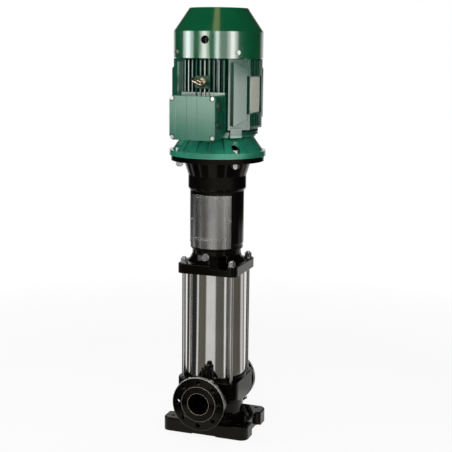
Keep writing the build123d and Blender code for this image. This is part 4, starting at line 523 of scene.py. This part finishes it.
# Faces of the two ports, in metres; a rim has a radius, half a width and a soft border
portFaces = {
    "axisHeight": 0.14,
    "ring": (0.066, 0.0006, 0.0012),
    "bore": (0.04, 0.0008, 0.0012),
    "brimHighlight": (0.099, 0.0005, 0.0008),
    "faceReach": 0.1805,          # the raised faces lie further out than this from the pump's axis
    "brimReach": 0.1685,          # and the brims of the flanges further out than this
    "rimShare": 0.75,
    "rimColour": (0.34, 0.29, 0.23),
    # The brim's colour is a painted highlight along the flange's edge, stronger towards the top over the
    # span of heights below
    "brimHighlightColour": (0.62, 0.59, 0.54),
    "brimHighlightSpan": (-0.02, 0.06),    # heights from the port's axis over which the brim comes out
    "brimHighlightShare": (0.1, 1.0),
    "groovePitch": 0.0011,
    "grooveDepth": 0.0002,
    "grooveStrength": 0.35,
}


def machineFaces(s):
    # Turned grooves on the raised faces, with the paint gone along both rims, and a painted highlight
    # along the flange's brim, brightest towards the top
    mat, tree, shader = paintedCasting("pumpCasting", castings["blackCasting"])
    link = tree.links.new
    part = objectParts(tree)
    rise = addMath(tree, "SUBTRACT", (-700, -800), part["Z"], s["axisHeight"])
    flat = addNode(tree, "CombineXYZ", (-500, -800))
    link(part["X"], flat.inputs["X"])
    link(rise, flat.inputs["Y"])
    away = addNode(tree, "VectorMath", (-300, -800), operation="LENGTH")
    link(flat.outputs["Vector"], away.inputs[0])
    radius = away.outputs["Value"]
    reach = addMath(tree, "ABSOLUTE", (-700, -1000), part["Y"])
    onFace = addMath(tree, "GREATER_THAN", (-300, -1000), reach, s["faceReach"])
    onFlange = addMath(tree, "GREATER_THAN", (-50, -1650), reach, s["brimReach"])
    ring, bore, brimHighlight = (addMask(tree, (-50, y), radius, *s[k])
                        for k, y in (("ring", -750), ("bore", -950), ("brimHighlight", -1850)))
    rims = addMath(tree, "MAXIMUM", (150, -800), ring, bore)
    rims = addMath(tree, "MULTIPLY", (300, -800), rims, onFace)
    rims = addMath(tree, "MULTIPLY", (450, -800), rims, s["rimShare"])
    tintWhere(tree, shader, (450, 400), rims, s["rimColour"])
    # Painted highlight on the brim, growing towards the top
    upper = addRange(tree, (-300, -1450), rise, s["brimHighlightSpan"], s["brimHighlightShare"])
    brimHighlight = addMath(tree, "MULTIPLY", (150, -1450), brimHighlight, upper)
    brimHighlight = addMath(tree, "MULTIPLY", (300, -1450), brimHighlight, onFlange)
    tintWhere(tree, shader, (550, 400), brimHighlight, s["brimHighlightColour"])
    inside = addMath(tree, "LESS_THAN", (-50, -1150), radius, s["ring"][0])
    turned = addMath(tree, "MULTIPLY", (-50, -1300), radius, 2 * math.pi / s["groovePitch"])
    groove = addMath(tree, "SINE", (150, -1150), turned)
    within = addMath(tree, "MULTIPLY", (150, -1300), inside, onFace)
    groove = addMath(tree, "MULTIPLY", (300, -1100), groove, within)
    pressInto(tree, shader, groove, s["grooveDepth"], s["grooveStrength"])
    return mat


# Fine lines: two pressed across the foot of each guard, tinted lighter as a painted highlight, and two
# upright ones in the lid's moulding, tinted darker as a painted shade
guardLinesHighlight = {
    "axis": "Z",
    "places": (0.7352, 0.7292),
    "half": 0.0006,
    "soft": 0.0008,
    "depth": 0.0015,
    "strength": 0.8,
    "sunk": False,
    "share": 0.6,
    "colour": (0.8, 0.79, 0.77),
}
lidLinesShade = {
    "axis": "X",
    "places": (-0.06, 0.0),
    "half": 0.0004,
    "soft": 0.0008,
    "depth": 0.0008,
    "strength": 0.5,
    "sunk": True,
    "share": 0.5,
    "colour": (0.02, 0.1, 0.06),
}


def drawLines(made, s):
    mat, tree, shader = made
    along = objectParts(tree)[s["axis"]]
    first, second = (addMask(tree, (-500, y), along, place, s["half"], s["soft"])
                     for y, place in zip((-700, -900), s["places"]))
    both = addMath(tree, "MAXIMUM", (-250, -800), first, second)
    pressInto(tree, shader, both, s["depth"], s["strength"], s["sunk"])
    # Tinted lines: a painted highlight on the guards, a painted shade in the lid
    both = addMath(tree, "MULTIPLY", (0, -800), both, s["share"])
    tintWhere(tree, shader, (450, 400), both, s["colour"])
    return mat


# The eyebolt's boss, duller and darker than the fins round it: less coat, and a painted shade in its
# colour
bossShade = {
    "half": (0.0275, 0.0225),     # across and up
    "soft": 0.001,
    "front": -0.158,              # it stands in front of this Y
    "share": 0.6,
    "colour": (0.0, 0.02, 0.012),
}


def paintShadeOnBoss(s):
    mat, tree, shader = paintedCasting("frameCastingBossShade", castings["greenCasting"])
    part = objectParts(tree)
    bottom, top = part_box("eyebolt")
    wide = addMask(tree, (-500, -700), part["X"], 0.0, s["half"][0], s["soft"])
    tall = addMask(tree, (-500, -900), part["Z"], (bottom.z + top.z) / 2, s["half"][1], s["soft"])
    front = addMath(tree, "LESS_THAN", (-500, -1100), part["Y"], s["front"])
    mask = addMath(tree, "MULTIPLY", (-400, -700), wide, tall)
    mask = addMath(tree, "MULTIPLY", (-300, -900), mask, front)
    plain = addMath(tree, "SUBTRACT", (-100, -900), 1.0, mask)
    coat = shader.inputs["Coat Weight"].links[0].from_socket
    tree.links.new(addMath(tree, "MULTIPLY", (450, -450), coat, plain), shader.inputs["Coat Weight"])
    # Painted shade: the boss's colour darkened
    dark = addMath(tree, "MULTIPLY", (100, -900), mask, s["share"])
    tintWhere(tree, shader, (450, 400), dark, s["colour"])
    return mat


creasedGuard = drawLines(brushedMetal("creasedGuard", metals["guardSteel"]), guardLinesHighlight)
special = {
    "pump_casing": machineFaces(portFaces),
    "guard_front": creasedGuard,
    "guard_back": creasedGuard,
    "terminal_box_lid": drawLines(paintedSheet("linedLid", paints["lidPaint"]), lidLinesShade),
    "motor_frame": paintShadeOnBoss(bossShade),
}
# The drive-end shield takes the lighter copy of the green casting paint, which is painted light
nodeLooks = {"fan_cowl": "cowlPaint", "tie_rods": "rodSteel", "drive_end_shield": "shieldCasting"}
slotLooks = {
    "green_paint": "greenCasting", "green_lid": "lidPaint", "black_casting": "blackCasting",
    "bright_stainless": "sleeveSteel", "satin_stainless": "guardSteel", "zinc_steel": "zinc",
    "yellow_zinc": "yellowZinc", "brass_plug": "brassPlug", "shaft_steel": "shaftSteel",
    "stage_stainless": "stageSteel", "seal_carbon": "sealCarbon", "rubber_black": "rubber",
    "lamination": "lamination", "copper_winding": "copper", "rotor_aluminium": "castAluminium",
    "bare_iron": "bareIron", "nameplate_metal": "plateMetal", "board_plastic": "boardPlastic",
    "fan_plastic": "fanPlastic", "plug_plastic": "plugPaint",
}
slotOf = {entry["node"]: entry["material_slot"] for entry in frame["record"]["subparts"]}
for name, obj in nodes.items():
    look = special.get(name) or looks[nodeLooks.get(name, slotLooks[slotOf[name]])]
    if not obj.material_slots:
        obj.data.materials.append(look)
    for cell in obj.material_slots:
        cell.material = look
print("materials set")


# Studio: bands that shine in the paint and metal and that the camera doesn't see, as stops of direction
# and shade round the pump. Directions are degrees from the camera's side, distances on the floor metres.
studio = {
    # On the floor, nearest the pump
    "close": ((-180, 1.0), (-60, 0.9), (0, 0.8), (90, 0.8), (130, 1.0), (180, 1.0)),
    # On the floor, past the closeEnd span
    "ring": ((-180, 0.05), (70, 0.05), (105, 0.6), (180, 0.6)),
    # On the floor, past the near span
    "low": ((-180, 1.0), (-146, 1.0), (-139, 0.06), (-120, 0.05), (-117, 0.95), (-109, 0.95),
            (-105, 0.03), (-77, 0.03), (-75, 0.85), (-70, 0.85), (-66, 0.08), (-60, (0.16, 0.15, 0.125)),
            (-39, (0.13, 0.125, 0.1)), (-35, 0.8), (-4, 0.76), (0, (0.135, 0.135, 0.12)),
            (29, (0.12, 0.12, 0.105)), (31, 0.95), (36, 0.95), (39, 0.12), (58, 0.08),
            (62, (0.13, 0.12, 0.1)), (101, (0.12, 0.11, 0.095)), (108, 0.7), (122, 0.68), (125, 0.1),
            (129, 0.1), (133, 1.0), (180, 1.0)),
    # On the floor, past the beyond span
    "far": ((-180, 0.9), (-158, 0.7), (-150, 0.02), (-80, 0.04), (-50, 0.2), (-14, 0.58), (48, 0.62),
            (70, 0.15), (100, 0.03), (148, 0.02), (154, 0.8), (180, 0.9)),
    "closeEnd": (0.42, 0.5),  # distances over which one ring of bands gives way to the next
    "near": (0.68, 0.76),
    "beyond": (4.0, 4.8),
    # In the room, low down
    "horizon": ((-180, 1.0), (-152, 0.8), (-142, 0.02), (132, 0.02), (142, 0.7), (180, 1.0)),
    # In the room, higher than the above span
    "upper": ((-180, 0.8), (-168, 0.7), (-160, 0.02), (160, 0.02), (168, 0.7), (180, 0.8)),
    "crownShade": (0.02, 0.02, 0.02),  # higher than the crown span, the same all round
    "above": (0.03, 0.08),  # rise of a ray, from 0 for level to 1 for straight up
    "crown": (0.5, 0.65),
    "floorSize": 30,
    "floorWhite": 0.9,
    "floorRough": 0.8,
    "shadow": 0.1,  # how much of the floor's own shade the camera sees
    "fade": (1.2, 2.6),  # distances over which the floor loses its shade, so that no horizon shows
}


def directionRamp(tree, source, stops, level=0):
    turned = addNode(tree, "Mapping", (-900, level))
    turned.inputs["Rotation"].default_value = (0, 0, -math.radians(camera["side"]))
    tree.links.new(source, turned.inputs["Vector"])
    part = addNode(tree, "SeparateXYZ", (-700, level))
    tree.links.new(turned.outputs["Vector"], part.inputs["Vector"])
    angle = addMath(tree, "ARCTAN2", (-500, level), part.outputs["Y"], part.outputs["X"])
    turns = addMath(tree, "DIVIDE", (-400, level), angle, 2 * math.pi)
    share = addMath(tree, "ADD", (-300, level), turns, 0.5)
    return addRamp(tree, (-100, level), [((a + 180) / 360, shade) for a, shade in stops], share)


def makeFloor(s):
    bpy.ops.object.select_all(action="DESELECT")
    bpy.ops.mesh.primitive_plane_add(size=s["floorSize"], location=(0, 0, cadBox[0][2]))
    floor = bpy.context.object
    floor.name = "floor"
    mat = bpy.data.materials.new("floorWhite")
    mat.use_nodes = True
    tree = mat.node_tree
    link = tree.links.new
    plain = tree.nodes["Principled BSDF"]
    setInputs(plain, Base_Color=(s["floorWhite"],) * 3 + (1,), Roughness=s["floorRough"])
    place = objectPlace(tree)
    away = addNode(tree, "VectorMath", (-900, 500), operation="LENGTH")
    link(place, away.inputs[0])
    distance = away.outputs["Value"]
    bands = directionRamp(tree, place, s["close"], -300)
    for i, (span, ring) in enumerate((("closeEnd", "ring"), ("near", "low"), ("beyond", "far")), 1):
        amount = addRange(tree, (-700, 400 - 200 * i), distance, s[span])
        outer = directionRamp(tree, place, s[ring], -300 - 300 * i)
        bands = blendColours(tree, (100 * i, -300), "MIX", amount, bands, outer)
    band = addNode(tree, "Emission", (500, -300))
    link(bands, band.inputs["Color"])
    ray = addNode(tree, "LightPath", (-500, 1000))
    fade = addRange(tree, (-700, 700), distance, s["fade"])
    shade = addMath(tree, "SUBTRACT", (-500, 700), 1.0, fade)
    shade = addMath(tree, "MULTIPLY", (-300, 700), shade, s["shadow"])
    lit = addMath(tree, "SUBTRACT", (-100, 700), 1.0, shade)
    seen = addNode(tree, "MixShader", (500, 200))
    link(addMath(tree, "MULTIPLY", (200, 500), ray.outputs["Is Camera Ray"], lit), seen.inputs[0])
    link(plain.outputs["BSDF"], seen.inputs[1])
    link(addNode(tree, "Emission", (200, 300)).outputs["Emission"], seen.inputs[2])
    indirect = (ray.outputs["Is Glossy Ray"], ray.outputs["Is Transmission Ray"])
    shown = addNode(tree, "MixShader", (700, 0))
    link(addMath(tree, "MAXIMUM", (400, 500), *indirect), shown.inputs[0])
    link(seen.outputs["Shader"], shown.inputs[1])
    link(band.outputs["Emission"], shown.inputs[2])
    link(shown.outputs["Shader"], tree.nodes["Material Output"].inputs["Surface"])
    floor.data.materials.append(mat)


def makeWorld(s):
    world = bpy.data.worlds.new("studio")
    bpy.context.scene.world = world
    world.use_nodes = True
    tree = world.node_tree
    link = tree.links.new
    room = tree.nodes["Background"]
    direction = addNode(tree, "TexCoord", (-1200, 0)).outputs["Generated"]
    part = addNode(tree, "SeparateXYZ", (-900, 400))
    link(direction, part.inputs["Vector"])
    above, crown = (addRange(tree, (-700, y), part.outputs["Z"], s[k])
                    for k, y in (("above", 400), ("crown", 700)))
    horizon, upper = (directionRamp(tree, direction, s[k], y)
                      for k, y in (("horizon", 0), ("upper", -300)))
    bands = blendColours(tree, (100, 300), "MIX", above, horizon, upper)
    bands = blendColours(tree, (200, 300), "MIX", crown, bands, (*s["crownShade"], 1))
    link(bands, room.inputs["Color"])
    white = addNode(tree, "Background", (100, -200))
    setInputs(white, Color=(1, 1, 1, 1))
    pick = addNode(tree, "MixShader", (300, 0))
    link(addNode(tree, "LightPath", (100, 600)).outputs["Is Camera Ray"], pick.inputs[0])
    link(room.outputs["Background"], pick.inputs[1])
    link(white.outputs["Background"], pick.inputs[2])
    link(pick.outputs["Shader"], tree.nodes["World Output"].inputs["Surface"])


# Lamps, by direction from the camera's side: tall panels round the front, a tinted glow for the cowl's
# cone and two sheets above. lampBase has what an entry leaves out; mirrored says whether it shines back.
lampBase = dict(away=2.2, high=2.2, tint=(1.0, 1.0, 1.0), mirrored=True)
lamps = (
    dict(name="panelFarLeft", side=-81, low=1.0, width=1.32, shine=2.6, core=3.2, tint=(0.93, 0.98, 1.0)),
    dict(name="panelLeft", side=-35, low=1.05, width=1.06, shine=2.4, core=2.8, tint=(1.0, 1.0, 0.95)),
    dict(name="panelMiddle", side=-3, low=1.0, width=0.56, shine=2.4, core=3.0, tint=(0.95, 0.99, 1.0)),
    dict(name="panelRight", side=35, low=0.92, width=1.06, shine=2.6, core=3.2, tint=(1.0, 0.99, 0.95)),
    dict(name="padGlow", side=55, away=2.15, low=0.9, high=1.27, width=0.6, shine=2.3),
    dict(name="panelDim", side=13, away=2.25, low=1.0, width=0.6, shine=0.8),
    dict(name="crownGlow", side=-11, away=1.05, low=3.2, high=3.2, width=0.42, deep=1.3, aim=1.5,
         shine=0.9, tint=(1.0, 0.9, 0.4)),
    dict(name="frontTop", side=-15, away=2.0, low=2.7, high=2.7, width=0.9, deep=0.9, aim=1.0, shine=5.0),
    dict(name="overhead", side=180, away=0.6, low=3.4, high=3.4, width=1.5, deep=1.5, aim=0.8,
         shine=4.6, mirrored=False),
)
coreWidth = 0.42  # a panel is brighter along its middle, over this share of its width
coreStep = 0.01   # and the lamp for it stands this much nearer the pump


def makeLamp(s):
    turn = math.radians(camera["side"] + s["side"])
    mid = (s["low"] + s["high"]) / 2
    spot = Vector((s["away"] * math.cos(turn), s["away"] * math.sin(turn), mid))
    data = bpy.data.lights.new(s["name"], "AREA")
    data.shape = "RECTANGLE"
    data.size = s["width"]
    data.size_y = s.get("deep", s["high"] - s["low"])
    data.color = s["tint"]
    data.energy = s["shine"] * data.size * data.size_y * math.pi
    lamp = bpy.data.objects.new(s["name"], data)
    lamp.location = spot
    lamp.rotation_euler = (Vector((0, 0, s.get("aim", mid))) - spot).to_track_quat("-Z", "Y").to_euler()
    lamp.visible_camera = False
    lamp.visible_glossy = s["mirrored"]
    bpy.context.scene.collection.objects.link(lamp)


makeFloor(studio)
makeWorld(studio)
for entry in lamps:
    lamp = {**lampBase, **entry}
    makeLamp(lamp)
    if "core" in lamp:
        makeLamp({**lamp, "name": lamp["name"] + "Core", "width": coreWidth * lamp["width"],
                  "shine": lamp["core"], "away": lamp["away"] - coreStep})
bpy.context.scene.view_settings.view_transform = "Standard"
print("stage set")
